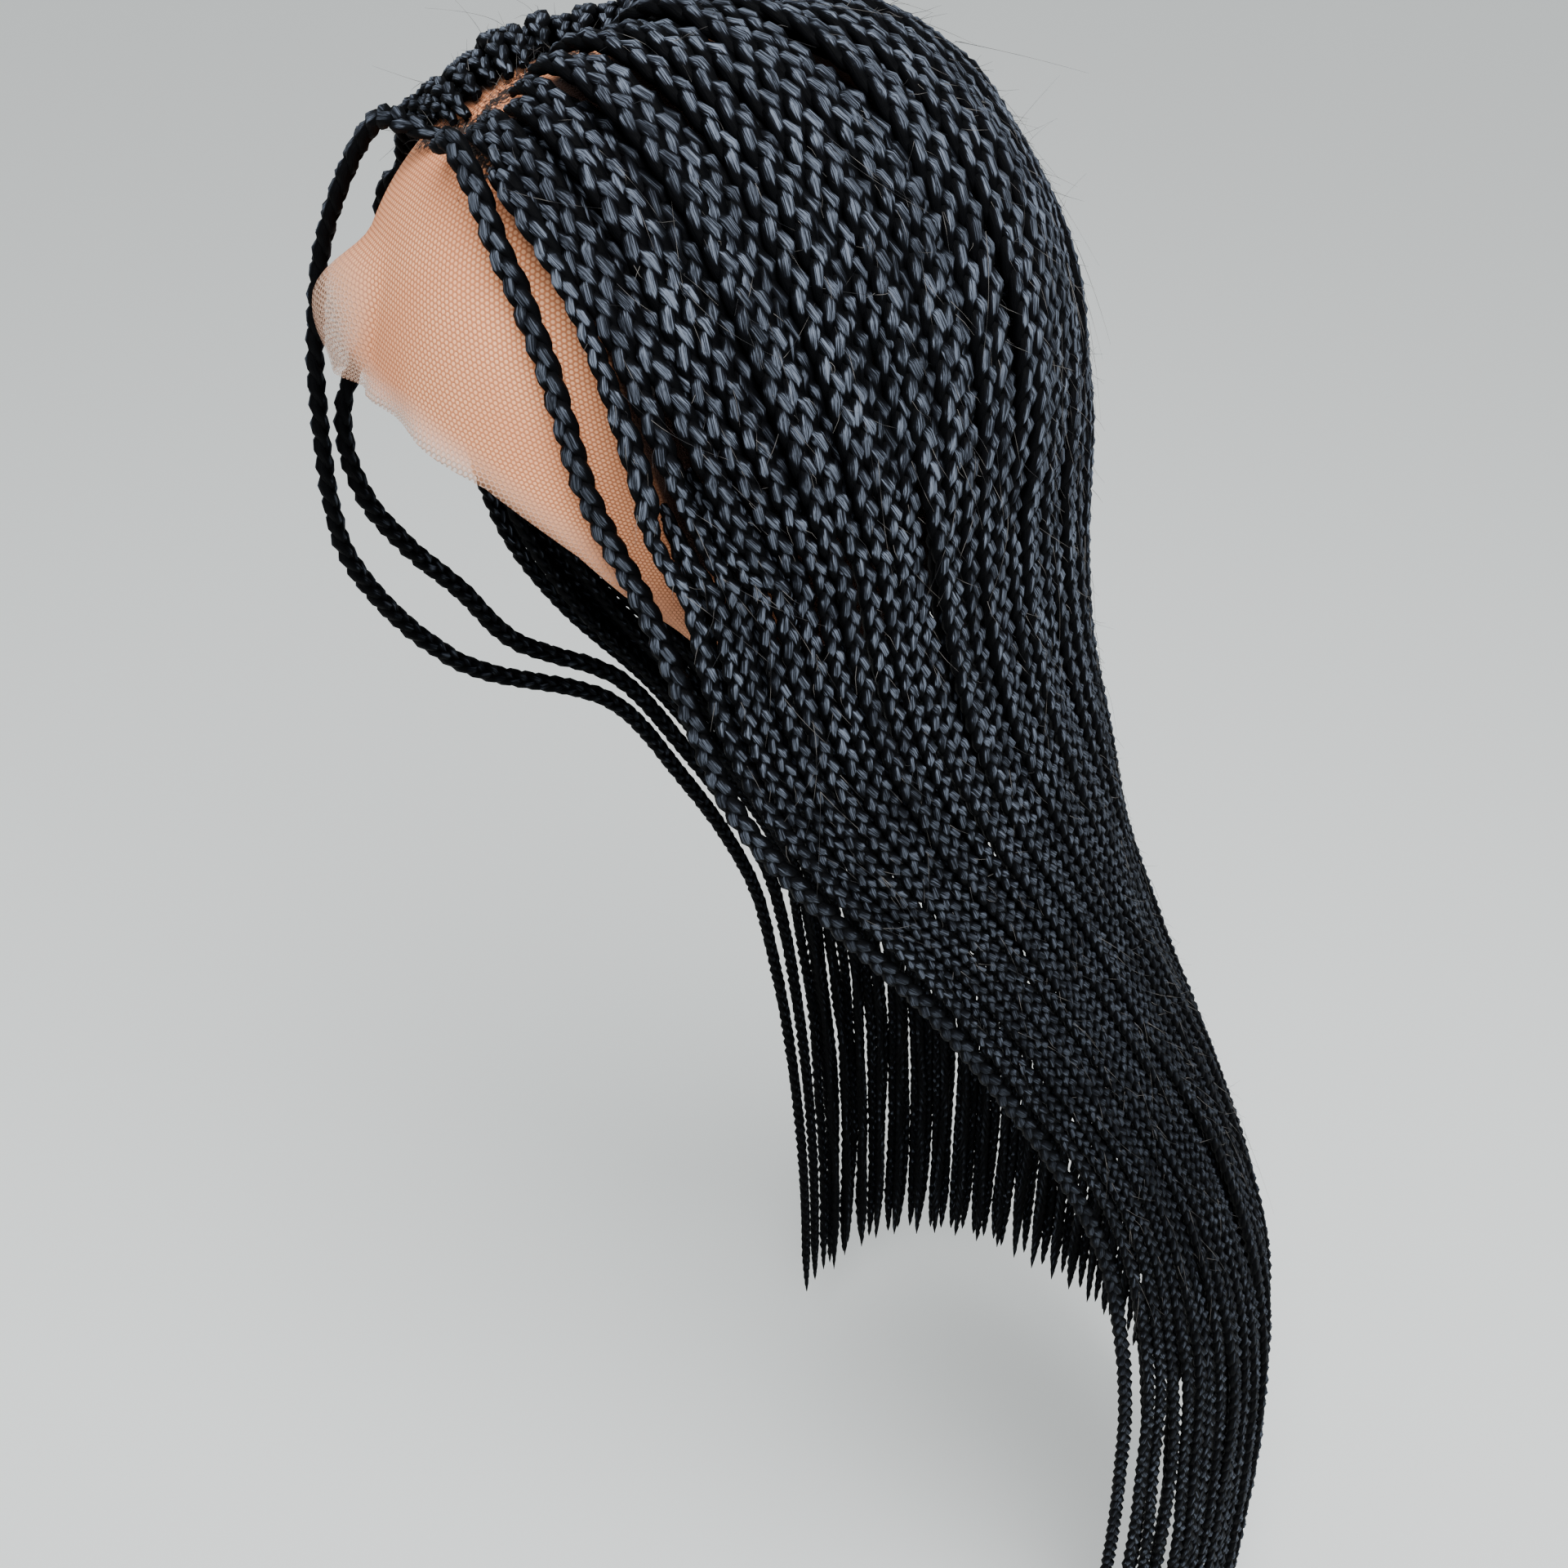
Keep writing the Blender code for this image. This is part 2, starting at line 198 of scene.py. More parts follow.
def over_head(share, edge_point, travel):
    """A point of the hair over the head, and its lift, at a travel of 0 (root) to 1 (ear height)."""
    root, along = root_direction(share)
    edge = edge_point - HEAD_CENTRE
    reach = np.linalg.norm(edge)
    goal = edge / reach
    turn = math.acos(float(np.clip(root @ goal, -1, 1)))
    clear = PARTING_GAP + WHORL_RADIUS * min(1.0, max(0.0, (share - WHORL_FROM) / WHORL_FADE))
    start = clear / (turn * head_radius(root))
    t = start + (1 - start) * travel
    unit = (math.sin((1 - t) * turn) * root + math.sin(t * turn) * goal) / math.sin(turn)
    bow = BOW_FRONT + (BOW_BACK - BOW_FRONT) * min(1.0, share / BOW_FADE)
    unit = unit + BOW_PEAK * t * (1 - t) ** 2 * bow * BOW_WAY
    unit /= np.linalg.norm(unit)
    root_lift = ROOT_LIFT + CROWN_EXTRA_LIFT * along
    lift = root_lift + (reach - head_radius(goal) - root_lift) * t ** LIFT_POWER
    return on_head(unit, lift), lift


shares = np.linspace(0, 1, SHARE_COLUMNS)
travels = np.linspace(0, 1, HEAD_STATIONS)
heights = np.linspace(SECTIONS[0].height, TIP_HEIGHT, HANGING_STATIONS + 1)[1:]
ear_row = hanging_row(shares, SECTIONS[0].height)
head_rows = [[over_head(q, edge, t) for q, edge in zip(shares, ear_row)] for t in travels]
hanging_rows = [hanging_row(shares, height) for height in heights]
sheet = np.array([[point for point, lift in row] for row in head_rows] + hanging_rows)
sheet_lift = np.array([[lift for point, lift in row] for row in head_rows])
sheet_lift = np.concatenate([sheet_lift, np.repeat(sheet_lift[-1:], HANGING_STATIONS, axis=0)])
down_step = np.gradient(sheet, axis=0)
across_step = np.gradient(sheet, axis=1)
sheet_out = np.cross(across_step, down_step)
sheet_out /= np.linalg.norm(sheet_out, axis=2, keepdims=True)
facing = np.einsum("ijk,ijk->ij", sheet_out, sheet - HEAD_CENTRE)
sheet_out *= np.sign(np.median(facing))
front_length = np.linalg.norm(np.diff(sheet[:, 0], axis=0), axis=1).sum()
print("hair sheet:", sheet.shape, "front braid:", round(float(front_length), 3), "m")

# %% [markdown]
# Shader arithmetic.
# A finish is easier to read as a formula than as a screen of linked boxes. The small class Wire
# holds one socket and turns +, -, * and the rest into Math nodes. Finish holds a material, makes
# any other node in one call and plugs values or wires into its sockets.

# %% Wires and finishes
class Wire:
    """One number coming out of a node, ready for ordinary arithmetic."""

    def __init__(self, finish, socket):
        self.finish = finish
        self.socket = socket

    def maths(self, operation, *others):
        inputs = dict(enumerate((self, *others)))
        return self.finish.node("ShaderNodeMath", {"operation": operation}, inputs)

    def turned(self, operation, other):
        return self.finish.node("ShaderNodeMath", {"operation": operation}, {0: other, 1: self})

    def __add__(self, other):
        return self.maths("ADD", other)

    def __radd__(self, other):
        return self.turned("ADD", other)

    def __sub__(self, other):
        return self.maths("SUBTRACT", other)

    def __rsub__(self, other):
        return self.turned("SUBTRACT", other)

    def __mul__(self, other):
        return self.maths("MULTIPLY", other)

    def __rmul__(self, other):
        return self.turned("MULTIPLY", other)

    def __truediv__(self, other):
        return self.maths("DIVIDE", other)

    def __pow__(self, other):
        return self.maths("POWER", other)

    def least(self, other):
        return self.maths("MINIMUM", other)

    def most(self, other):
        return self.maths("MAXIMUM", other)

    def size(self):
        return self.maths("ABSOLUTE")

    def ramp(self, low, high, start=0.0, end=1.0):
        """Go smoothly from start to end while this number goes from low to high."""
        settings = {"interpolation_type": "SMOOTHSTEP"}
        values = {"Value": self, "From Min": low, "From Max": high, "To Min": start, "To Max": end}
        return self.finish.node("ShaderNodeMapRange", settings, values)


class Finish:
    """A material with its Principled shader, and one way to make any other node."""

    def __init__(self, name, **constants):
        self.material = bpy.data.materials.new(name)
        self.material.use_nodes = True
        self.tree = self.material.node_tree
        self.shader = self.tree.nodes["Principled BSDF"]
        for socket, value in constants.items():
            self.shader.inputs[socket.replace("_", " ")].default_value = value

    def plug(self, value, socket):
        if isinstance(value, Wire):
            self.tree.links.new(value.socket, socket)
        else:
            socket.default_value = value

    def node(self, kind, settings=None, values=None, output=0):
        made = self.tree.nodes.new(kind)
        for key, value in (settings or {}).items():
            setattr(made, key, value)
        for key, value in (values or {}).items():
            self.plug(value, made.inputs[key])
        return Wire(self, made.outputs[output])

    def attribute(self, name, output="Fac"):
        return self.node("ShaderNodeAttribute", {"attribute_name": name}, output=output)

    def noise(self, vector, scale, detail=2.0, roughness=0.5):
        values = {"Vector": vector, "Scale": scale, "Detail": detail, "Roughness": roughness}
        return self.node("ShaderNodeTexNoise", values=values)

    def colours(self, factor, low, high):
        """Mix two colours, each a tuple or a wire, by a number."""
        return self.node("ShaderNodeMix", {"data_type": "RGBA"}, {0: factor, 6: low, 7: high}, output=2)

    def finish(self, height=None, depth=0.0, strength=1.0, **sockets):
        """Plug wires into the shader, and a height through Bump into its normal."""
        for socket, value in sockets.items():
            self.plug(value, self.shader.inputs[socket.replace("_", " ")])
        if height is not None:
            values = {"Height": height, "Distance": depth, "Strength": strength}
            self.plug(self.node("ShaderNodeBump", values=values), self.shader.inputs["Normal"])
        return self.material


print("shader tools ready")

# %% [markdown]
# The hair's finish.
# Braiding hair is a black synthetic fibre. On a braid each strand shows as a lobe of fine fibres:
# the crown of the lobe catches a blue-grey sheen, and where the strand dives under its neighbour
# it lies in shade. Both are painted into the base colour, a painted sheen on the crowns and painted
# shade, near black, in the crevices, and the shader's own gloss is kept low, because on so many
# small round strands real highlights turn to glitter. Each braid's mesh carries three attributes:
# the place round and along the strand for the fibres, how proud the surface stands on the braid,
# and the braid's own brightness with its painted shade. Their noise also makes the lobes' edges
# ragged. A texture on plain object coordinates would run straight through the weave instead.

# %% Hair finish
# The next colour is painted shade, near black, for the crevices between strands.
CREVICE_SHADE = (0.0008, 0.0009, 0.0013, 1)
FIBRE_DARK = (0.0032, 0.0038, 0.0055, 1)
# The next colour is a painted sheen: the blue-grey of the lobes' crowns where they would catch the lamp.
FIBRE_SHEEN = (0.125, 0.145, 0.185, 1)
FIBRE_SCALE = 3.0
CLUMP_SCALE = 1.15
RAGGED = 0.85
LOBE_PATCH_SCALE = 85.0
FIBRE_BUMP = 0.00030
HAIR_GLOSS = 0.05
STREAK_RAMP = (0.46, 0.70)
SHEEN_CROWN_RAMP = (0.63, 0.84)
CREVICE_SHADE_RAMP = (0.52, 0.74)
PATCH_RAMP = (0.3, 0.7, 0.65, 1.25)
LEAST_STREAK = 0.10
HAIR_ROUGHNESS = 0.74
STREAK_POLISH = 0.14
STREAK_FINE = 0.75
STREAK_CLUMP = 0.35
EDGE_FINE = 0.65
EDGE_CLUMP = 0.35
RELIEF_FINE = 0.7
RELIEF_CLUMP = 0.5


def hair_finish(name):
    """Lobes of streaked fibre with a painted sheen on the crown, over painted shade in the crevices."""
    made = Finish(name, Specular_IOR_Level=HAIR_GLOSS)
    fibre = made.attribute("fibre", "Vector")
    lobe = made.attribute("lobe")
    tone = made.attribute("tone")
    fine = made.noise(fibre, FIBRE_SCALE, 3.0, 0.62)
    clump = made.noise(fibre, CLUMP_SCALE, 2.0)
    patch = made.noise(made.node("ShaderNodeTexCoord", output=3), LOBE_PATCH_SCALE, 1.0)
    streak = (fine * STREAK_FINE + clump * STREAK_CLUMP).ramp(*STREAK_RAMP)
    edge = clump * EDGE_CLUMP + fine * EDGE_FINE - 0.5
    # Painted sheen: the proud crown of each lobe is painted light, with ragged edges.
    crown = (lobe.size() + RAGGED * edge).ramp(*SHEEN_CROWN_RAMP)
    painted_sheen = (LEAST_STREAK + (1 - LEAST_STREAK) * streak) * crown * tone * patch.ramp(*PATCH_RAMP)
    fibres = made.colours(painted_sheen.least(1.0), FIBRE_DARK, FIBRE_SHEEN)
    # Painted shade: where the surface sinks between strands the colour goes near black.
    colour = made.colours(lobe.size().ramp(*CREVICE_SHADE_RAMP), CREVICE_SHADE, fibres)
    roughness = HAIR_ROUGHNESS - STREAK_POLISH * streak
    relief = fine * RELIEF_FINE + clump * RELIEF_CLUMP
    return made.finish(height=relief, depth=FIBRE_BUMP, Base_Color=colour, Roughness=roughness)


braid_material = hair_finish("braided_hair")
print("hair finish:", len(braid_material.node_tree.nodes), "nodes")

# %% [markdown]
# Strands.
# In a flat three-strand braid each strand swings from side to side once a turn and dips in and
# out twice, a third of a turn behind the last. That is a sine for the swing and a sine of twice
# the angle for the dip, laid on a frame that follows the braid. Curves with a round bevel make
# the strands: the points say where a strand runs, the radius at each point how full it is, and
# the curve turned to a mesh keeps its rings in order, so the attributes can be worked out ring
# by ring. The loose hairs further down are made by the same helper. A particle system would look
# finer close up, but it doesn't export as solid pieces.

# %% Strand maker
STRANDS = 3
SWING = 0.235
DIP = 0.135
FULLNESS = 0.262
PULSE = 0.14
TURN_LENGTH = 3.5
ROOT_FULLNESS = 0.55
ROOT_TAPER = 0.014
END_TAPER = 0.030
END_FULLNESS = 0.08
RING_SIDES = 6
Zone = namedtuple("Zone", "height points_per_turn")
DETAIL_ZONES = (
    Zone(-0.700, 5.2),
    Zone(-0.440, 5.7),
    Zone(-0.330, 7),
    Zone(-0.200, 8),
    Zone(-0.080, 9),
)
LEAST_RINGS = 12
Braid = namedtuple("Braid", "centre out width tone phase detail turn_length")


def unit_rows(rows):
    return rows / np.linalg.norm(rows, axis=1, keepdims=True)


def path_length(points):
    return np.concatenate([[0], np.cumsum(np.linalg.norm(np.diff(points, axis=0), axis=1))])


def read_rows(place, knots, rows):
    return np.stack([np.interp(place, knots, rows[:, k]) for k in range(rows.shape[1])], 1)


def strand_stations(braid):
    """The braid's own frame at each ring of its strands, spaced by its turns."""
    travel = path_length(braid.centre)
    mean_width = (braid.width[1:] + braid.width[:-1]) / 2
    turns = np.concatenate([[0], np.cumsum(np.diff(travel) / (braid.turn_length * mean_width))])
    zones = ([zone.height for zone in DETAIL_ZONES], [zone.points_per_turn for zone in DETAIL_ZONES])
    density = np.interp(braid.centre[:, 2], *zones) * braid.detail
    rings = np.concatenate([[0], np.cumsum(np.diff(turns) * (density[1:] + density[:-1]) / 2)])
    place = np.interp(np.linspace(0, rings[-1], max(LEAST_RINGS, int(rings[-1]))), rings, travel)
    centre = read_rows(place, travel, braid.centre)
    along = unit_rows(np.gradient(centre, axis=0))
    out = read_rows(place, travel, braid.out)
    out = unit_rows(out - along * np.einsum("ij,ij->i", out, along)[:, None])
    across = np.cross(along, out)
    width = np.interp(place, travel, braid.width)
    angle = 2 * math.pi * np.interp(place, travel, turns) + braid.phase
    root = ROOT_FULLNESS + (1 - ROOT_FULLNESS) * np.clip(place / ROOT_TAPER, 0, 1)
    end = END_FULLNESS + (1 - END_FULLNESS) * np.clip((travel[-1] - place) / END_TAPER, 0, 1) ** 0.6
    return centre, out, across, width * root * end, angle, place


def round_curves(name, lines, bevel, resolution):
    """Make lines, each given by its points and radii, as round bars in a single mesh object."""
    curve = bpy.data.curves.new(name, "CURVE")
    curve.dimensions = "3D"
    curve.bevel_depth = bevel
    curve.bevel_resolution = resolution
    curve.use_fill_caps = True
    for points, radii in lines:
        spline = curve.splines.new("POLY")
        spline.points.add(len(points) - 1)
        spline.points.foreach_set("co", np.column_stack([points, np.ones(len(points))]).ravel())
        spline.points.foreach_set("radius", radii)
    piece = bpy.data.objects.new(name, curve)
    bpy.context.scene.collection.objects.link(piece)
    mesh = bpy.data.meshes.new_from_object(piece.evaluated_get(bpy.context.evaluated_depsgraph_get()))
    bpy.data.objects.remove(piece)
    bpy.data.curves.remove(curve)
    mesh.name = name
    piece = bpy.data.objects.new(name, mesh)
    bpy.context.scene.collection.objects.link(piece)
    return piece


def strand_object(name, braids):
    """Make every strand of some braids as one mesh with the attributes of the hair finish."""
    lines = []
    rings = []
    for braid in braids:
        centre, out, across, width, angle, place = strand_stations(braid)
        for strand in range(STRANDS):
            swing = angle + 2 * math.pi * strand / STRANDS
            sideways = (SWING * width * np.sin(swing))[:, None] * across
            outwards = (DIP * width * np.sin(2 * swing))[:, None] * out
            points = centre + sideways + outwards
            radius = FULLNESS * width * (1 + PULSE * np.sin(2 * swing))
            lines.append((points, radius / MM))
            rings.append((points, centre, out, across, width, place, np.full(len(points), braid.tone)))
    piece = round_curves(name, lines, MM, 1)
    write_hair_attributes(piece.data, [np.concatenate(column) for column in zip(*rings)], len(rings))
    return piece


FIBRE_STRETCH = 0.05
FIBRE_SHUFFLE = 97
Shade = namedtuple("Shade", "height tone")
# Painted shade by height: the hanging hair is painted darker lower down, darkest at a height of -0.36 m,
# and lighter again towards the tips.
PAINTED_HEIGHT_SHADE = (
    Shade(-0.60, 0.60),
    Shade(-0.48, 0.42),
    Shade(-0.36, 0.30),
    Shade(-0.24, 0.56),
    Shade(-0.16, 0.92),
    Shade(0.02, 1.0),
)


def write_hair_attributes(mesh, columns, strands):
    """Fibre place, lobe, and brightness with its painted shade at each vertex: cap rings come first, then
    the strands' rings.
    """
    columns = [np.repeat(column, RING_SIDES, axis=0) for column in columns]
    points, centre, out, across, width, place, tone = columns
    co = np.empty(len(mesh.vertices) * 3, np.float32)
    mesh.vertices.foreach_get("co", co)
    caps = 2 * RING_SIDES * strands
    co = co.reshape(-1, 3)[caps:]
    spoke = co - points
    round_x = np.einsum("ij,ij->i", spoke, across)
    round_y = np.einsum("ij,ij->i", spoke, out)
    proud = np.einsum("ij,ij->i", co - centre, out) / (width * (DIP + FULLNESS * (1 + PULSE)))
    fibre = np.stack([round_x / MM + tone * FIBRE_SHUFFLE, round_y / MM, place / MM * FIBRE_STRETCH], 1)
    # The braids' brightness is multiplied by the painted shade by height.
    tone = tone * np.interp(centre[:, 2], [row.height for row in PAINTED_HEIGHT_SHADE], [row.tone for row in PAINTED_HEIGHT_SHADE])
    values = {"lobe": proud, "tone": tone}
    for name, value in values.items():
        filled = np.concatenate([np.zeros(caps), value]).astype(np.float32)
        mesh.attributes.new(name, "FLOAT", "POINT").data.foreach_set("value", filled)
    filled = np.concatenate([np.zeros((caps, 3)), fibre]).astype(np.float32)
    mesh.attributes.new("fibre", "FLOAT_VECTOR", "POINT").data.foreach_set("vector", filled.ravel())


print("strand maker ready")

# %% [markdown]
# Braids in a lock.
# A lock of the CAD part is the room of a few neighbouring braids, so each lock becomes a piece
# of its own: two outer braids, and a third between them. Where the locks are wide, the third lies
# nearly level with the others, and where they are narrow it lies beneath and closes the gap. At
# the parting there is hardly room for any, so a braid begins only where its lock is wide enough,
# and on the left, the side in the picture, one thick braid then goes alone for a while and rises
# from its root in a small arch. No two braids on a real wig are quite alike. Each gets its own
# width, its own start in the weave, and a slow wander sideways and in depth, from a seeded
# generator, so that every run of the script gives the same wig.

# %% Braids of the locks
LOCKS_PER_REGION = 6
REGIONS = ("front", "side", "back")
LOCK_COUNT = LOCKS_PER_REGION * len(REGIONS)
BRAIDS_PER_LOCK = 3
CAP_WALL = 0.0012
OVERLAP = 1.02
WIDEST = 0.0080
BACK_WIDEST = 0.0098
NARROWEST = 0.0054
SPREAD_SPACING = (0.0064, 0.0080)
CLOSE_PLACE = 0.25
SPREAD_PLACE = 0.165
UNDER_DEPTH = 0.0055
UNDER_RISE = 0.0027
UNDER_DETAIL = 0.62
# Painted shade: the braid that lies beneath the other two is painted darker by the next factor.
UNDER_SHADE = 0.7
CROWD_DEPTH = 0.0024
ROOT_TRAVEL = 0.13
ROOT_ROOM = (0.0012, 0.0024, 0.0042)
ROOT_STAGGER = 3
SOLO_WIDTH = 1.3
SOLO_ROOM = (0.0042, 0.0050)
ROOT_HUMP = {1: 0.0045, -1: 0.0012}
HUMP_TRAVEL = 0.42
PARTING_LEAN = 5.0
LEAN_TRAVEL = 0.50
WANDER_SIDE = 0.0010
WANDER_DEPTH = 0.0011
WANDER_LEAST_WIDTH = 0.008
SIDE_WAVES = 3.2
DEPTH_WAVES = 2.6
OWN_DEPTH = 0.0013
WIDTH_RANGE = (0.93, 1.07)
TONE_RANGE = (0.80, 1.20)
HUMP_RANGE = (0.5, 1.2)
HUMP_POWER = 0.6
HUMP_ROOTS = 0.2


def sheet_place(grid, share):
    """Read one column of the hair sheet at a share that may change from station to station."""
    column = np.clip(share, 0, 1) * (SHARE_COLUMNS - 1)
    low = np.minimum(column.astype(int), SHARE_COLUMNS - 2)
    part = (column - low)[:, None]
    rows = np.arange(len(share))
    grid = grid if grid.ndim == 3 else grid[:, :, None]
    return grid[rows, low] * (1 - part) + grid[rows, low + 1] * part


def lock_spacing(share):
    """How wide a lock is at each station, along one column of the sheet."""
    step = np.linalg.norm(sheet_place(across_step, np.full(len(sheet), share)), axis=1)
    return step * (SHARE_COLUMNS - 1) / LOCK_COUNT


def wander(stations, waves):
    """A slow wave between -1 and 1 that is different for each braid."""
    first, second = random.uniform(0, 2 * math.pi, 2)
    angle = 2 * math.pi * waves * stations
    return 0.6 * np.sin(angle + first) + 0.4 * np.sin(2.3 * angle + second)


def leaned(points, travel, share):
    """Turn the roots a few degrees to the right, so that the parting drifts off the middle."""
    turned = np.clip(1 - travel / LEAN_TRAVEL, 0, 1) ** 2 * np.clip(share / HAIRLINE_SHARE - 1, 0, 1)
    angle = np.radians(PARTING_LEAN) * turned
    x, z = points[:, 0], points[:, 2] + HEAD_UP
    across = x * np.cos(angle) - z * np.sin(angle)
    upward = x * np.sin(angle) + z * np.cos(angle)
    return np.stack([across, points[:, 1], upward - HEAD_UP], 1)


def lock_braid(index, number, side):
    """One braid of a lock: numbers 0 and 2 lie outside, and 1 goes between or beneath them."""
    stations = np.linspace(0, 1, len(sheet))
    travel = np.arange(len(sheet)) / (HEAD_STATIONS - 1)
    lock_width = lock_spacing((index + 0.5) / LOCK_COUNT)
    room = lock_width / 2
    solo = np.clip((SOLO_ROOM[1] - room) / (SOLO_ROOM[1] - SOLO_ROOM[0]), 0, 1) * (side > 0)
    solo = np.maximum.accumulate(solo[::-1])[::-1]
    spread = np.clip((room - SPREAD_SPACING[0]) / (SPREAD_SPACING[1] - SPREAD_SPACING[0]), 0, 1)
    offset = (number - 1) * (0.5 - (CLOSE_PLACE + (SPREAD_PLACE - CLOSE_PLACE) * spread)) * (1 - solo)
    level = 2 if number == 1 else (2 * index + number // 2) % 2
    late = 2 if number == 1 else 0
    first = int(np.argmax(room > ROOT_ROOM[level])) + late + random.integers(ROOT_STAGGER)
    if number > 0 and solo.max() > 0.5:
        first = max(first, int(np.nonzero(solo > 0.5)[0][-1]) + random.integers(ROOT_STAGGER))
    beyond = travel - travel[first]
    settle = np.clip(travel * 5, 0, 1)
    wide = np.maximum(lock_width, WANDER_LEAST_WIDTH)
    sideways = WANDER_SIDE * wander(stations, SIDE_WAVES) * settle / wide
    share = (index + 0.5 + offset + sideways) / LOCK_COUNT
    centre = sheet_place(sheet, share)
    out = unit_rows(sheet_place(sheet_out, share))
    widest = WIDEST + (BACK_WIDEST - WIDEST) * spread * (side < 0 or index >= 2 * LOCKS_PER_REGION)
    width = np.clip(room * (1 + SOLO_WIDTH * solo) * OVERLAP, NARROWEST, widest)
    width = width * random.uniform(*WIDTH_RANGE)
    lift = sheet_place(sheet_lift, share)[:, 0]
    crowd = np.clip(1 - room * (1 + solo) / width, 0, 1)
    order = (2 * index + number // 2) % 2 - 0.5
    depth = WANDER_DEPTH * wander(stations, DEPTH_WAVES) + 2 * order * CROWD_DEPTH * crowd
    depth = depth + OWN_DEPTH * random.uniform(-1, 1)
    if number == 1:
        depth = depth + UNDER_DEPTH - UNDER_RISE * spread
    seat = lift - CAP_WALL - width * FULLNESS
    rooted = np.clip(1 - beyond / ROOT_TRAVEL, 0, 1) ** 2
    depth = np.minimum(depth, seat) * (1 - rooted) + seat * rooted
    arch = np.clip(beyond / HUMP_TRAVEL, 0, 1) ** HUMP_POWER
    hump = ROOT_HUMP[side] * np.sin(math.pi * arch) ** 2
    hump = hump * random.uniform(*HUMP_RANGE) * (number != 1) * (travel[first] < HUMP_ROOTS)
    centre = centre + out * (hump - depth)[:, None]
    mirror = np.array([side, 1, 1])
    centre = leaned(centre * mirror, travel, share)
    # A random brightness for each braid, with painted shade on the one that lies beneath.
    tone = random.uniform(*TONE_RANGE) * (UNDER_SHADE if number == 1 else 1)
    phase = random.uniform(0, 2 * math.pi)
    detail = UNDER_DETAIL if number == 1 else 1.0
    line = (centre[first:], out[first:] * mirror, width[first:])
    return Braid(*line, tone, phase, detail, TURN_LENGTH)


def dress(piece, *nodes):
    """What every hair piece needs: its finish and its body. The nodes it stands for are hidden."""
    piece.data.materials.append(braid_material)
    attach(piece, "root")
    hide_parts(*nodes)
    return piece


def triangles(piece):
    return sum(len(face.vertices) - 2 for face in piece.data.polygons)


hair_pieces = []
shown_braids = []
for side_name, side in SIDES:
    for index in range(LOCK_COUNT):
        place = f"{REGIONS[index // LOCKS_PER_REGION]}_lock_{index % LOCKS_PER_REGION + 1}"
        lock = f"{side_name}_{place}"
        braids = [lock_braid(index, number, side) for number in range(BRAIDS_PER_LOCK)]
        shown_braids += braids[::2]
        hair_pieces.append(dress(strand_object(lock.replace("lock", "braids"), braids), lock))

print("lock pieces:", len(hair_pieces), "triangles:", sum(triangles(piece) for piece in hair_pieces))

# %% [markdown]
# The loose face braids.
# Three braids hang loose in front of the rest, one on the left and two on the right. Each is a
# free cord of hair on a route of its own, the CAD part's, from its root down the front edge of
# the others to the tips. The same strand maker weaves them, in shorter turns. The first
# millimetres are sunk to hide the blunt end among the roots. Their outward direction is taken
# from a core line through the middle of the head and the hanging hair.

# %% Face braids
PLAIT_RADIUS = 0.0037
PLAIT_SEAT_GAP = 0.0010
PLAIT_FIRST_OFFSET = 0.0062
PLAIT_SPACING = 0.0098
PLAIT_STATIONS = 90
PLAIT_WIDTH = 0.0074
PLAIT_THINNING = 0.80
PLAIT_TONE = 0.60
PLAIT_TURN_LENGTH = 3.0
PLAIT_DETAIL = 1.15
PLAIT_THINS_FROM = 0.3
PLAIT_SINK = 0.004
PLAIT_SINK_LENGTH = 0.012
JOIN_STEP = 0.045
RoutePoint = namedtuple("RoutePoint", "x y z")
LEFT_ROUTE = (
    RoutePoint(0.0050, -0.0710, -0.0148),
    RoutePoint(0.0120, -0.0752, -0.0140),
    RoutePoint(0.0205, -0.0746, -0.0112),
    RoutePoint(0.0290, -0.0745, -0.0155),
    RoutePoint(0.0380, -0.0738, -0.0235),
    RoutePoint(0.0440, -0.0730, -0.0320),
    RoutePoint(0.0520, -0.0700, -0.0445),
    RoutePoint(0.0580, -0.0680, -0.0555),
    RoutePoint(0.0640, -0.0656, -0.0714),
    RoutePoint(0.0670, -0.0630, -0.0866),
    RoutePoint(0.0700, -0.0580, -0.1030),
    RoutePoint(0.0735, -0.0505, -0.1207),
    RoutePoint(0.0800, -0.0430, -0.1450),
)
RIGHT_ROUTE = (
    RoutePoint(-0.0050, -0.0710, -0.0148),
    RoutePoint(-0.0150, -0.0762, -0.0152),
    RoutePoint(-0.0250, -0.0770, -0.0160),
    RoutePoint(-0.0325, -0.0785, -0.0205),
    RoutePoint(-0.0390, -0.0825, -0.0300),
    RoutePoint(-0.0470, -0.0870, -0.0450),
    RoutePoint(-0.0540, -0.0900, -0.0595),
    RoutePoint(-0.0590, -0.0925, -0.0790),
    RoutePoint(-0.0620, -0.0940, -0.0985),
    RoutePoint(-0.0645, -0.0940, -0.1175),
    RoutePoint(-0.0680, -0.0930, -0.1415),
    RoutePoint(-0.0720, -0.0895, -0.1640),
    RoutePoint(-0.0790, -0.0755, -0.1930),
    RoutePoint(-0.0865, -0.0510, -0.2245),
)
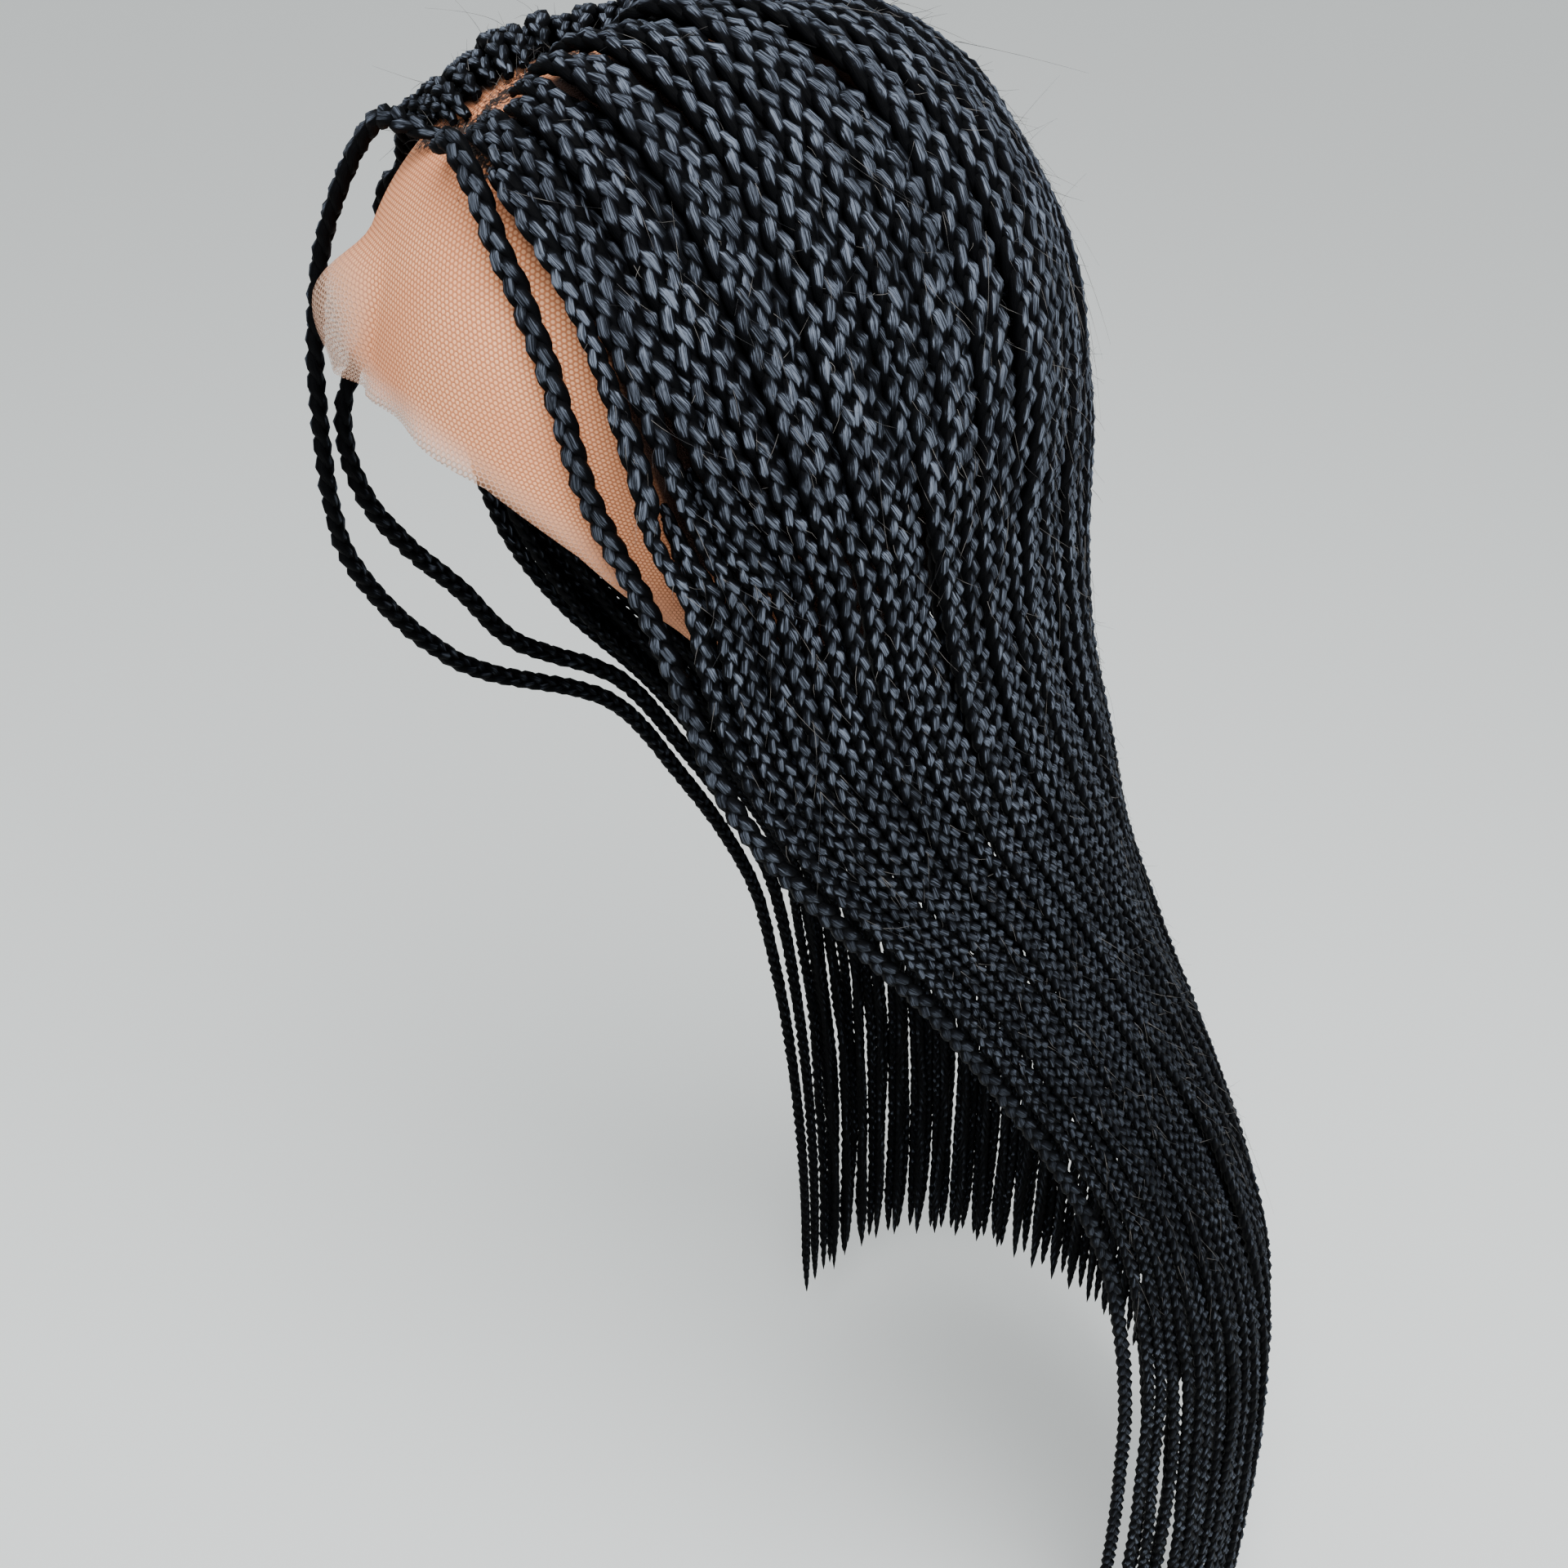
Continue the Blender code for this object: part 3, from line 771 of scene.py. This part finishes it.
RIGHT_INNER_ROUTE = (
    RoutePoint(-0.0410, -0.0670, -0.0370),
    RoutePoint(-0.0500, -0.0660, -0.0490),
    RoutePoint(-0.0580, -0.0660, -0.0640),
    RoutePoint(-0.0625, -0.0715, -0.0820),
    RoutePoint(-0.0640, -0.0790, -0.0970),
    RoutePoint(-0.0650, -0.0855, -0.1110),
    RoutePoint(-0.0670, -0.0860, -0.1270),
    RoutePoint(-0.0695, -0.0820, -0.1445),
    RoutePoint(-0.0765, -0.0660, -0.1720),
    RoutePoint(-0.0840, -0.0460, -0.1970),
    RoutePoint(-0.0915, -0.0280, -0.2235),
)
RoutedPlait = namedtuple("RoutedPlait", "name side route rank join_height")
FACE_PLAITS = (
    RoutedPlait("face_plait_left", 1, LEFT_ROUTE, 1, -0.190),
    RoutedPlait("face_plait_right_inner", -1, RIGHT_INNER_ROUTE, 1, -0.262),
    RoutedPlait("face_plait_right", -1, RIGHT_ROUTE, 2, -0.275),
)


def front_offset(height, distance):
    """A point that lies in front of the hair's front edge, in line with it."""
    edge, beside = hanging_row(np.array([0.0, 0.02]), height)
    step = beside - edge
    return edge - step / np.linalg.norm(step) * distance


def seated(point):
    """Move a braid's point out until the braid rests on the cap's outside."""
    reach = point - HEAD_CENTRE
    unit = reach / np.linalg.norm(reach)
    least = head_radius(unit) + CAP_WALL + PLAIT_RADIUS + PLAIT_SEAT_GAP
    return HEAD_CENTRE + unit * max(least, float(np.linalg.norm(reach)))


def face_braid(plait):
    points = [np.array(point) for point in plait.route]
    for height in list(np.arange(plait.join_height, TIP_HEIGHT, -JOIN_STEP)) + [TIP_HEIGHT]:
        point = front_offset(height, PLAIT_FIRST_OFFSET + PLAIT_SPACING * (plait.rank - 1))
        points.append(point * np.array([plait.side, 1, 1]))
    points = np.array(points)
    travel = path_length(points)
    steps = np.linspace(0, travel[-1], PLAIT_STATIONS)
    smooth = np.stack([smooth_curve(steps, travel, points[:, k]) for k in range(3)], 1)
    centre = np.array([seated(point) for point in smooth])
    inward = unit_rows(HEAD_CENTRE - centre)
    centre = centre + inward * (PLAIT_SINK * np.clip(1 - steps / PLAIT_SINK_LENGTH, 0, 1))[:, None]
    core_height = np.minimum(centre[:, 2], -HEAD_UP)
    core_depth = [section_value(min(z, SECTIONS[0].height), "centre") for z in core_height]
    out = unit_rows(centre - np.stack([0 * core_height, core_depth, core_height], 1))
    thinning = np.interp(steps / travel[-1], [PLAIT_THINS_FROM, 1], [1, PLAIT_THINNING])
    phase = random.uniform(0, 2 * math.pi)
    return Braid(centre, out, PLAIT_WIDTH * thinning, PLAIT_TONE, phase, PLAIT_DETAIL, PLAIT_TURN_LENGTH)


for plait in FACE_PLAITS:
    piece = dress(strand_object(plait.name.replace("plait", "braid"), [face_braid(plait)]), plait.name)
    hair_pieces.append(piece)
    print(piece.name, triangles(piece), "triangles")

# %% [markdown]
# The lace.
# The cap is a fine tan net, cut a little long at the brow, where a corner of it springs away
# from the head. Its shape is half a sphere of fine segments drawn onto the head form, as in the
# part, with a real wall. The net itself is far too fine to model, so it is a pattern of round
# holes in staggered rows, on a map unrolled from the head so that the holes keep their size. One
# map can't unroll a whole head evenly, so the front and the back each have their own. Three
# attributes say where the lace is free of the head, where hair is knotted into it, and where the
# hair covers it. Along the roots the lace is speckled with dark knots and painted with shade that
# deepens close to the roots. Covered lace is painted dark as shade under the hair, so that no pale
# skin colour shows between the braids.

# %% Lace shape
LaceEdge = namedtuple("LaceEdge", "angle height")
LACE_EDGE = (
    LaceEdge(0, -0.082),
    LaceEdge(15, -0.085),
    LaceEdge(30, -0.095),
    LaceEdge(45, -0.113),
    LaceEdge(60, -0.136),
    LaceEdge(75, -0.160),
    LaceEdge(84, -0.160),
    LaceEdge(93, -0.118),
    LaceEdge(103, -0.110),
    LaceEdge(117, -0.130),
    LaceEdge(133, -0.166),
    LaceEdge(155, -0.190),
    LaceEdge(180, -0.198),
)
FLAP_ANGLE = -20.0
FLAP_HALF_ANGLE = 20.0
FLAP_LIFT = 0.012
FLAP_START = 0.70
FLAP_FULL = 0.87
FLAP_CURL = 0.70
LACE_SEGMENTS = 144
LACE_ROWS = 44
LACE_LIFT = 0.0003
LACE_THICKNESS = 0.0005
LACE_FREE_FROM = 0.93
EDGE_SEARCH = (-85.0, 85.0)
EDGE_STEPS = 30
EDGE_WAVE = 0.0016
EDGE_WAVES = 17
MAP_RADIUS = 0.090
BROW_HALF_ANGLE = 75
FLAP_FREE_FROM = 0.72
FLAP_FREE_FADE = 0.10
INSIDE_SHARE = 0.03
INSIDE_START = 0.2
MAP_CENTRES = (direction(0, 35), direction(180, 5))
ROOT_REACH = 0.009
CLEAR_OF_ROOTS = 0.016
COVER_REACH = (2.0, 4.5)
LOW_FROM = -0.100
LOW_FADE = 0.015
LOW_TURN = 84.0
LOW_TURN_FADE = 8.0


def lace_edge_rise(turn):
    """The rise at which the head form meets the lace's lower edge."""
    edge = np.interp(abs(turn), [row.angle for row in LACE_EDGE], [row.height for row in LACE_EDGE])
    low, high = EDGE_SEARCH
    for _ in range(EDGE_STEPS):
        middle = (low + high) / 2
        if on_head(direction(turn, middle), 0.0)[2] < edge:
            low = middle
        else:
            high = middle
    return high


def flap_share(turn, polar):
    """How far the free lace stands off, from 0 to 1; polar is 0 at the crown and 1 at the edge."""
    near = max(0.0, 1 - abs(turn - FLAP_ANGLE) / FLAP_HALF_ANGLE)
    near = near * (2 - near)
    up = min(1.0, max(0.0, (polar - FLAP_START) / (FLAP_FULL - FLAP_START)))
    curl = max(0.0, (polar - FLAP_FULL) / (1 - FLAP_FULL))
    return near * up * up * (3 - 2 * up) * (1 - FLAP_CURL * curl ** 2)


def map_place(point, centre):
    """Unroll a point of the head onto a flat map about a centre, in metres."""
    unit = point - HEAD_CENTRE
    unit = unit / np.linalg.norm(unit)
    east = np.cross([0, 0, 1.0], centre)
    east /= np.linalg.norm(east)
    north = np.cross(centre, east)
    flat = np.array([unit @ east, unit @ north])
    reach = math.acos(float(np.clip(unit @ centre, -1, 1))) * MAP_RADIUS
    return flat / max(np.linalg.norm(flat), 1e-9) * reach


def under_hair(point):
    """How far a point of the cap lies inside the hair, from 0 at the front edge to 1."""
    unit = (point - HEAD_CENTRE) * [np.sign(point[0]) or 1, 1, 1]
    beside = covering @ (unit / np.linalg.norm(unit))
    nearest = int(np.argmax(beside))
    inside = np.clip((nearest % SHARE_COLUMNS) / SHARE_COLUMNS / INSIDE_SHARE - INSIDE_START, 0, 1)
    apart = math.degrees(math.acos(min(1, beside[nearest])))
    near = np.clip((COVER_REACH[1] - apart) / COVER_REACH[0], 0, 1)
    turn = math.degrees(math.atan2(abs(point[0]), -point[1]))
    behind = np.clip((turn - LOW_TURN) / LOW_TURN_FADE, 0, 1)
    low = np.clip((LOW_FROM - point[2]) / LOW_FADE, 0, 1)
    return float(max(inside * near, behind * low))


covering = unit_rows(sheet[:HEAD_STATIONS].reshape(-1, 3) - HEAD_CENTRE)
root_shares = np.linspace(0, PARTING_SHARE, 80)
root_line = np.array([on_head(root_direction(q)[0], 0) for q in root_shares])
root_lines = [leaned(root_line * [side, 1, 1], 0 * root_shares, root_shares) for _, side in SIDES]
root_line = np.concatenate(root_lines)
bm = bmesh.new()
bmesh.ops.create_uvsphere(bm, u_segments=LACE_SEGMENTS, v_segments=2 * LACE_ROWS, radius=1.0)
bmesh.ops.delete(bm, geom=[vert for vert in bm.verts if vert.co.z < -0.01], context="VERTS")
free = bm.verts.layers.float.new("free")
rooted = bm.verts.layers.float.new("rooted")
covered = bm.verts.layers.float.new("covered")
for vert in bm.verts:
    turn = math.degrees(math.atan2(vert.co.x, -vert.co.y))
    polar = math.acos(max(-1.0, min(1.0, vert.co.z))) / (math.pi / 2)
    rise = 90 - polar * (90 - lace_edge_rise(turn))
    lift = FLAP_LIFT * flap_share(turn, polar)
    hem = max(0.0, (polar - LACE_FREE_FROM) / (1 - LACE_FREE_FROM))
    wave = 1 + math.sin(math.radians(turn) * EDGE_WAVES + 2 * math.sin(math.radians(turn) * 5))
    on_brow = max(0.0, 1 - abs(turn) / BROW_HALF_ANGLE)
    ripple = EDGE_WAVE * wave * hem ** 2 * min(1, 2 * on_brow)
    vert.co = on_head(direction(turn, rise), LACE_LIFT + lift + ripple)
    flapping = flap_share(turn, polar) * max(0.0, (polar - FLAP_FREE_FROM) / FLAP_FREE_FADE)
    vert[free] = hem * min(1.0, 1.6 * on_brow) + flapping
    away = np.linalg.norm(root_line - np.array(vert.co), axis=1).min()
    vert[rooted] = max(0.0, 1 - away / ROOT_REACH)
    vert[covered] = under_hair(np.array(vert.co)) * min(1.0, away / CLEAR_OF_ROOTS)
net = bm.loops.layers.uv.new("net")
for face in bm.faces:
    middle = np.array(face.calc_center_median()) - HEAD_CENTRE
    centre = max(MAP_CENTRES, key=lambda c: float(c @ middle))
    for loop in face.loops:
        loop[net].uv = map_place(np.array(loop.vert.co), centre)
bmesh.ops.recalc_face_normals(bm, faces=bm.faces)
mesh = bpy.data.meshes.new("lace_net")
bm.to_mesh(mesh)
bm.free()
mesh.shade_smooth()
lace = bpy.data.objects.new("lace_net", mesh)
bpy.context.scene.collection.objects.link(lace)
wall = lace.modifiers.new("wall", "SOLIDIFY")
wall.thickness = LACE_THICKNESS
wall.offset = 1.0
print("lace faces:", len(mesh.polygons))

# %% Lace finish
MESH_PITCH = 0.0014
HOLE_RADIUS = 0.36
HOLE_EDGE = 0.10
HOLE_OPENING = 0.06
ROW_HEIGHT = math.sqrt(3)
NET_WARP = 0.35
NET_WARP_SCALE = 55.0
FILM = 0.90
FILM_FREE = 0.04
THREAD_COLOUR = (0.58, 0.200, 0.085, 1)
THREAD_FREE_COLOUR = (0.60, 0.43, 0.34, 1)
FILM_COLOUR = (1.0, 0.490, 0.265, 1)
FILM_SHADE_COLOUR = (0.92, 0.390, 0.200, 1)
# The next colour is the dark knots, and also painted shade along the roots.
KNOT_AND_SHADE_COLOUR = (0.030, 0.018, 0.014, 1)
# The next colour is painted shade for lace under the hair.
COVERED_SHADE = (0.030, 0.012, 0.007, 1)
SHADE_SCALE = 30.0
KNOT_SCALE = 700.0
KNOT_CLUMP_SCALE = 160.0
KNOT_RAMP = (0.70, 0.86)
KNOT_CLUMPS = 0.6
KNOT_SPECKLE = 0.62
KNOTS_AND_SHADE_NEAR_ROOTS = 0.45
THREAD_ALPHA = 0.9
NET_RELIEF = 0.0002


def lace_finish():
    """A net of round holes with a thin film of colour in them, more open where it lies free."""
    made = Finish("lace", Roughness=0.75, Specular_IOR_Level=0.2)
    place = made.node("ShaderNodeUVMap", {"uv_map": "net"})
    warp = made.noise(place, NET_WARP_SCALE, 1.0)
    flat = {"Vector": place}
    parts = [made.node("ShaderNodeSeparateXYZ", values=flat, output=axis) for axis in (0, 1)]
    x, y = [part / MESH_PITCH + NET_WARP * warp for part in parts]
    half_row = ROW_HEIGHT / 2
    first = x.maths("WRAP", 0.5, -0.5) ** 2 + y.maths("WRAP", half_row, -half_row) ** 2
    second = (x + 0.5).maths("WRAP", 0.5, -0.5) ** 2
    second = second + (y + half_row).maths("WRAP", half_row, -half_row) ** 2
    middle = first.least(second).maths("SQRT")
    free = made.attribute("free").least(1.0)
    thread = (middle - HOLE_OPENING * free).ramp(HOLE_RADIUS - HOLE_EDGE, HOLE_RADIUS + HOLE_EDGE)
    rooted = made.attribute("rooted")
    object_place = made.node("ShaderNodeTexCoord", output=3)
    cloud = made.noise(object_place, SHADE_SCALE, 2.0)
    film = made.colours(cloud.ramp(0.3, 0.7), FILM_SHADE_COLOUR, FILM_COLOUR)
    threads = made.colours(free, THREAD_COLOUR, THREAD_FREE_COLOUR)
    colour = made.colours(thread, film, threads)
    speckle = made.noise(object_place, KNOT_SCALE, 1.0)
    speckle = speckle + made.noise(object_place, KNOT_CLUMP_SCALE, 2.0) * KNOT_CLUMPS
    # Dark knots speckled along the roots, with painted shade that deepens close to them.
    knots_and_shade = (speckle * KNOT_SPECKLE + rooted * KNOTS_AND_SHADE_NEAR_ROOTS).ramp(*KNOT_RAMP) * rooted.ramp(0.0, 0.5)
    colour = made.colours(knots_and_shade, colour, KNOT_AND_SHADE_COLOUR)
    # Painted shade: lace that the hair covers is painted dark brown.
    colour = made.colours(made.attribute("covered").ramp(0.1, 0.9), colour, COVERED_SHADE)
    seen = thread * THREAD_ALPHA + (1 - thread) * (FILM - (FILM - FILM_FREE) * free)
    return made.finish(height=thread, depth=NET_RELIEF, Base_Color=colour, Alpha=seen.most(knots_and_shade))


lace.data.materials.append(lace_finish())
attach(lace, "root")
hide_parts("lace_cap")

# %% [markdown]
# Loose hairs.
# Synthetic braids fray: short fibre ends stand out of the lobes, longer hairs lie along the
# braids, a few float free near the top, and fine ones fringe the root line. They are curves
# again, thin enough to be seen only one by one. All but the fringe start on a braid picked at
# random.

# %% Loose hairs
FRAY_COUNT = 2000
FRAY_LENGTH = (0.003, 0.009)
HAIR_RADIUS = 0.00008
HAIR_TAPER = 0.25
LYING_COUNT = 360
LYING_LENGTH = (0.012, 0.040)
FLY_COUNT = 60
FLY_LENGTH = (0.016, 0.038)
ROOT_HAIR_COUNT = 700
ROOT_HAIR_LENGTH = (0.003, 0.012)
ROOT_HAIR_SPREAD = 0.0022
FRAY_LOWEST = -0.45
FLY_LOWEST = -0.10
FLY_DROP = np.array([0, 0, -0.3])
FRAY_AROUND = 1.2
FRAY_ALONG = 0.004
FRAY_SEAT = 0.36
LYING_SEAT = 0.46
FRAY_POINTS = 3
LYING_POINTS = 7
FLY_POINTS = 10
ROOT_HAIR_POINTS = 4


def curl(start, heading, bend, length, points):
    """A hair that sets off one way and bends towards another."""
    steps = np.linspace(0, 1, points)[:, None]
    return start + length * (steps * heading + 0.5 * steps ** 2 * bend)


def any_direction():
    vector = random.normal(size=3)
    return vector / np.linalg.norm(vector)


def braid_place(lowest):
    """A random place on a braid that shows: its centre, outward, along, across and width."""
    while True:
        braid = shown_braids[random.integers(len(shown_braids))]
        at = random.integers(3, len(braid.centre) - 1)
        if braid.centre[at, 2] > lowest:
            along = unit_rows((braid.centre[at] - braid.centre[at - 1])[None])[0]
            return braid.centre[at], braid.out[at], along, np.cross(along, braid.out[at]), braid.width[at]


frayed = []
for _ in range(FRAY_COUNT):
    centre, out, along, across, width = braid_place(FRAY_LOWEST)
    around = random.uniform(-FRAY_AROUND, FRAY_AROUND)
    outwards = out * math.cos(around) + across * math.sin(around)
    start = centre + outwards * width * FRAY_SEAT + along * random.uniform(-FRAY_ALONG, FRAY_ALONG)
    heading = 0.45 * outwards + along * random.uniform(0.3, 1.0) + 0.35 * any_direction()
    bend = 0.8 * any_direction() + 0.3 * along
    frayed.append(curl(start, heading, bend, random.uniform(*FRAY_LENGTH), FRAY_POINTS))
flying = []
for _ in range(LYING_COUNT):
    centre, out, along, across, width = braid_place(FRAY_LOWEST)
    start = centre + out * width * LYING_SEAT
    heading = along + across * random.uniform(-0.5, 0.5) + out * 0.08
    bend = 0.35 * across * random.normal() - 0.12 * out
    flying.append(curl(start, heading, bend, random.uniform(*LYING_LENGTH), LYING_POINTS))
for _ in range(FLY_COUNT):
    centre, out, along, across, width = braid_place(FLY_LOWEST)
    heading = unit_rows((out * 0.7 + 0.6 * any_direction())[None])[0]
    bend = 1.2 * any_direction() + FLY_DROP
    start = centre + out * 2 * MM
    flying.append(curl(start, heading * 0.4, bend, random.uniform(*FLY_LENGTH), FLY_POINTS))
for _ in range(ROOT_HAIR_COUNT):
    start = root_line[random.integers(len(root_line))] + random.normal(size=3) * ROOT_HAIR_SPREAD
    unit = unit_rows((start - HEAD_CENTRE)[None])[0]
    swept = np.array([np.sign(start[0]) * 0.8, 0.6, -0.1]) + 0.7 * any_direction()
    length = random.uniform(*ROOT_HAIR_LENGTH)
    bend = unit * -0.4 + 0.8 * any_direction()
    flying.append(curl(on_head(unit, MM), swept * 0.8 + unit * 0.4, bend, length, ROOT_HAIR_POINTS))


LOOSE_DARK = (0.008, 0.008, 0.010, 1)
LOOSE_LIGHT = (0.135, 0.125, 0.115, 1)
LOOSE_SHADE_SCALE = 160.0
LOOSE_RAMP = (0.42, 0.62)


def loose_hair_finish():
    """Dark hairs with lighter ones among them, which catch the light where they float."""
    made = Finish("loose_hair", Specular_IOR_Level=0.4)
    object_place = made.node("ShaderNodeTexCoord", output=3)
    shade = made.noise(object_place, LOOSE_SHADE_SCALE, 1.0)
    colour = made.colours(shade.ramp(*LOOSE_RAMP), LOOSE_DARK, LOOSE_LIGHT)
    return made.finish(Base_Color=colour, Roughness=0.40 + 0.2 * shade)


loose_material = loose_hair_finish()
for name, paths in (("frayed_ends", frayed), ("loose_hairs", flying)):
    lines = [(path, np.linspace(1, HAIR_TAPER, len(path))) for path in paths]
    piece = round_curves(name, lines, HAIR_RADIUS, 0)
    piece.data.materials.append(loose_material)
    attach(piece, "root")
    hair_pieces.append(piece)
    print(name, triangles(piece), "triangles")

# %% [markdown]
# The camera.
# The picture is taken from the wearer's left and above, about 60 degrees round from the face and
# 34 degrees up, close enough for strong perspective. The camera is aimed from its turn, rise and
# roll, because a tracking constraint would keep it upright. Its lens comes from the focal length
# in pixels of a square picture, so that it frames the wig alike at any size.

# %% Camera
FRAME_PIXELS = 1920
FOCAL_PIXELS = 2300.0
SENSOR_WIDTH = 36.0
CAMERA_TURN = 60.0
CAMERA_RISE = 34.0
CAMERA_ROLL = 1.5
CAMERA_DISTANCE = 0.585
CAMERA_ACROSS = 0.036
CAMERA_UP = -0.093
AIM = np.array([0.0, -0.005, -0.130])
back = direction(CAMERA_TURN, CAMERA_RISE)
right = np.cross(-back, [0, 0, 1.0])
right /= np.linalg.norm(right)
up = np.cross(right, -back)
roll = math.radians(CAMERA_ROLL)
right, up = right * math.cos(roll) + up * math.sin(roll), up * math.cos(roll) - right * math.sin(roll)
eye = AIM + right * CAMERA_ACROSS + up * CAMERA_UP + back * CAMERA_DISTANCE
lens = bpy.data.cameras.new("camera")
lens.sensor_width = SENSOR_WIDTH
lens.lens = SENSOR_WIDTH * FOCAL_PIXELS / FRAME_PIXELS
lens.clip_start = 0.01
camera = bpy.data.objects.new("camera", lens)
turned = Matrix(np.stack([right, up, back], 1).tolist()).to_4x4()
camera.matrix_world = Matrix.Translation(Vector(eye)) @ turned
bpy.context.scene.collection.objects.link(camera)
bpy.context.scene.camera = camera
print("lens:", round(lens.lens, 2), "mm")

# %% [markdown]
# Studio.
# One broad lamp stands high on the wearer's left and lights the crowns of the lobes. A weaker
# one fills from further round that side. The world is a pale, slightly cool grey. The floor
# is a plain pale disc below the tips, because the wig is held up by the head that wears it. It
# glows a little of itself: that makes the ground as pale as the wall in the picture, and more
# lamp power would only wash out the crevices between the braids.

# %% Studio
LAMP_TARGET = Vector((0.0, 0.05, -0.20))
FLOOR_HEIGHT = -0.75
FLOOR_RADIUS = 6.0
FLOOR_COLOUR = (0.84, 0.86, 0.84, 1)
FLOOR_GLOW = 0.11
WORLD_COLOUR = (0.80, 0.83, 0.85, 1)
WORLD_STRENGTH = 0.84
Lamp = namedtuple("Lamp", "name turn rise distance size power colour")
LAMPS = (
    Lamp("key", 68, 55, 1.6, 1.2, 48, (0.96, 0.98, 1.0)),
    Lamp("fill", 110, 25, 2.0, 1.2, 8, (0.95, 0.97, 1.0)),
)
for lamp in LAMPS:
    data = bpy.data.lights.new(lamp.name, "AREA")
    data.shape = "DISK"
    data.size = lamp.size
    data.energy = lamp.power
    data.color = lamp.colour
    stand = bpy.data.objects.new(lamp.name, data)
    stand.location = LAMP_TARGET + Vector(direction(lamp.turn, lamp.rise)) * lamp.distance
    stand.rotation_mode = "QUATERNION"
    stand.rotation_quaternion = (LAMP_TARGET - stand.location).to_track_quat("-Z", "Y")
    bpy.context.scene.collection.objects.link(stand)

world = bpy.data.worlds.new("studio")
world.use_nodes = True
world.node_tree.nodes["Background"].inputs["Color"].default_value = WORLD_COLOUR
world.node_tree.nodes["Background"].inputs["Strength"].default_value = WORLD_STRENGTH
bpy.context.scene.world = world

bm = bmesh.new()
bmesh.ops.create_circle(bm, cap_ends=True, segments=64, radius=FLOOR_RADIUS)
bmesh.ops.translate(bm, verts=bm.verts, vec=(0, 0, FLOOR_HEIGHT))
floor_mesh = bpy.data.meshes.new("floor")
bm.to_mesh(floor_mesh)
bm.free()
floor = bpy.data.objects.new("floor", floor_mesh)
bpy.context.scene.collection.objects.link(floor)
glow = {"Emission_Color": FLOOR_COLOUR, "Emission_Strength": FLOOR_GLOW}
floor_finish = Finish("floor", Base_Color=FLOOR_COLOUR, Roughness=0.6, **glow)
floor_mesh.materials.append(floor_finish.material)
floor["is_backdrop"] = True
print("lamps:", len(LAMPS))

# %% [markdown]
# Size and finish.
# The dressed wig has to fill the same box as the CAD part, apart from a little room for fibres.
# Both boxes are printed for comparison.

# %% Finish
visual_box = [list(corner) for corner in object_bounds()]
for name, box in (("CAD", cad_box), ("visual", visual_box)):
    print(name, "box in mm:", [[round(value * 1000, 1) for value in corner] for corner in box])
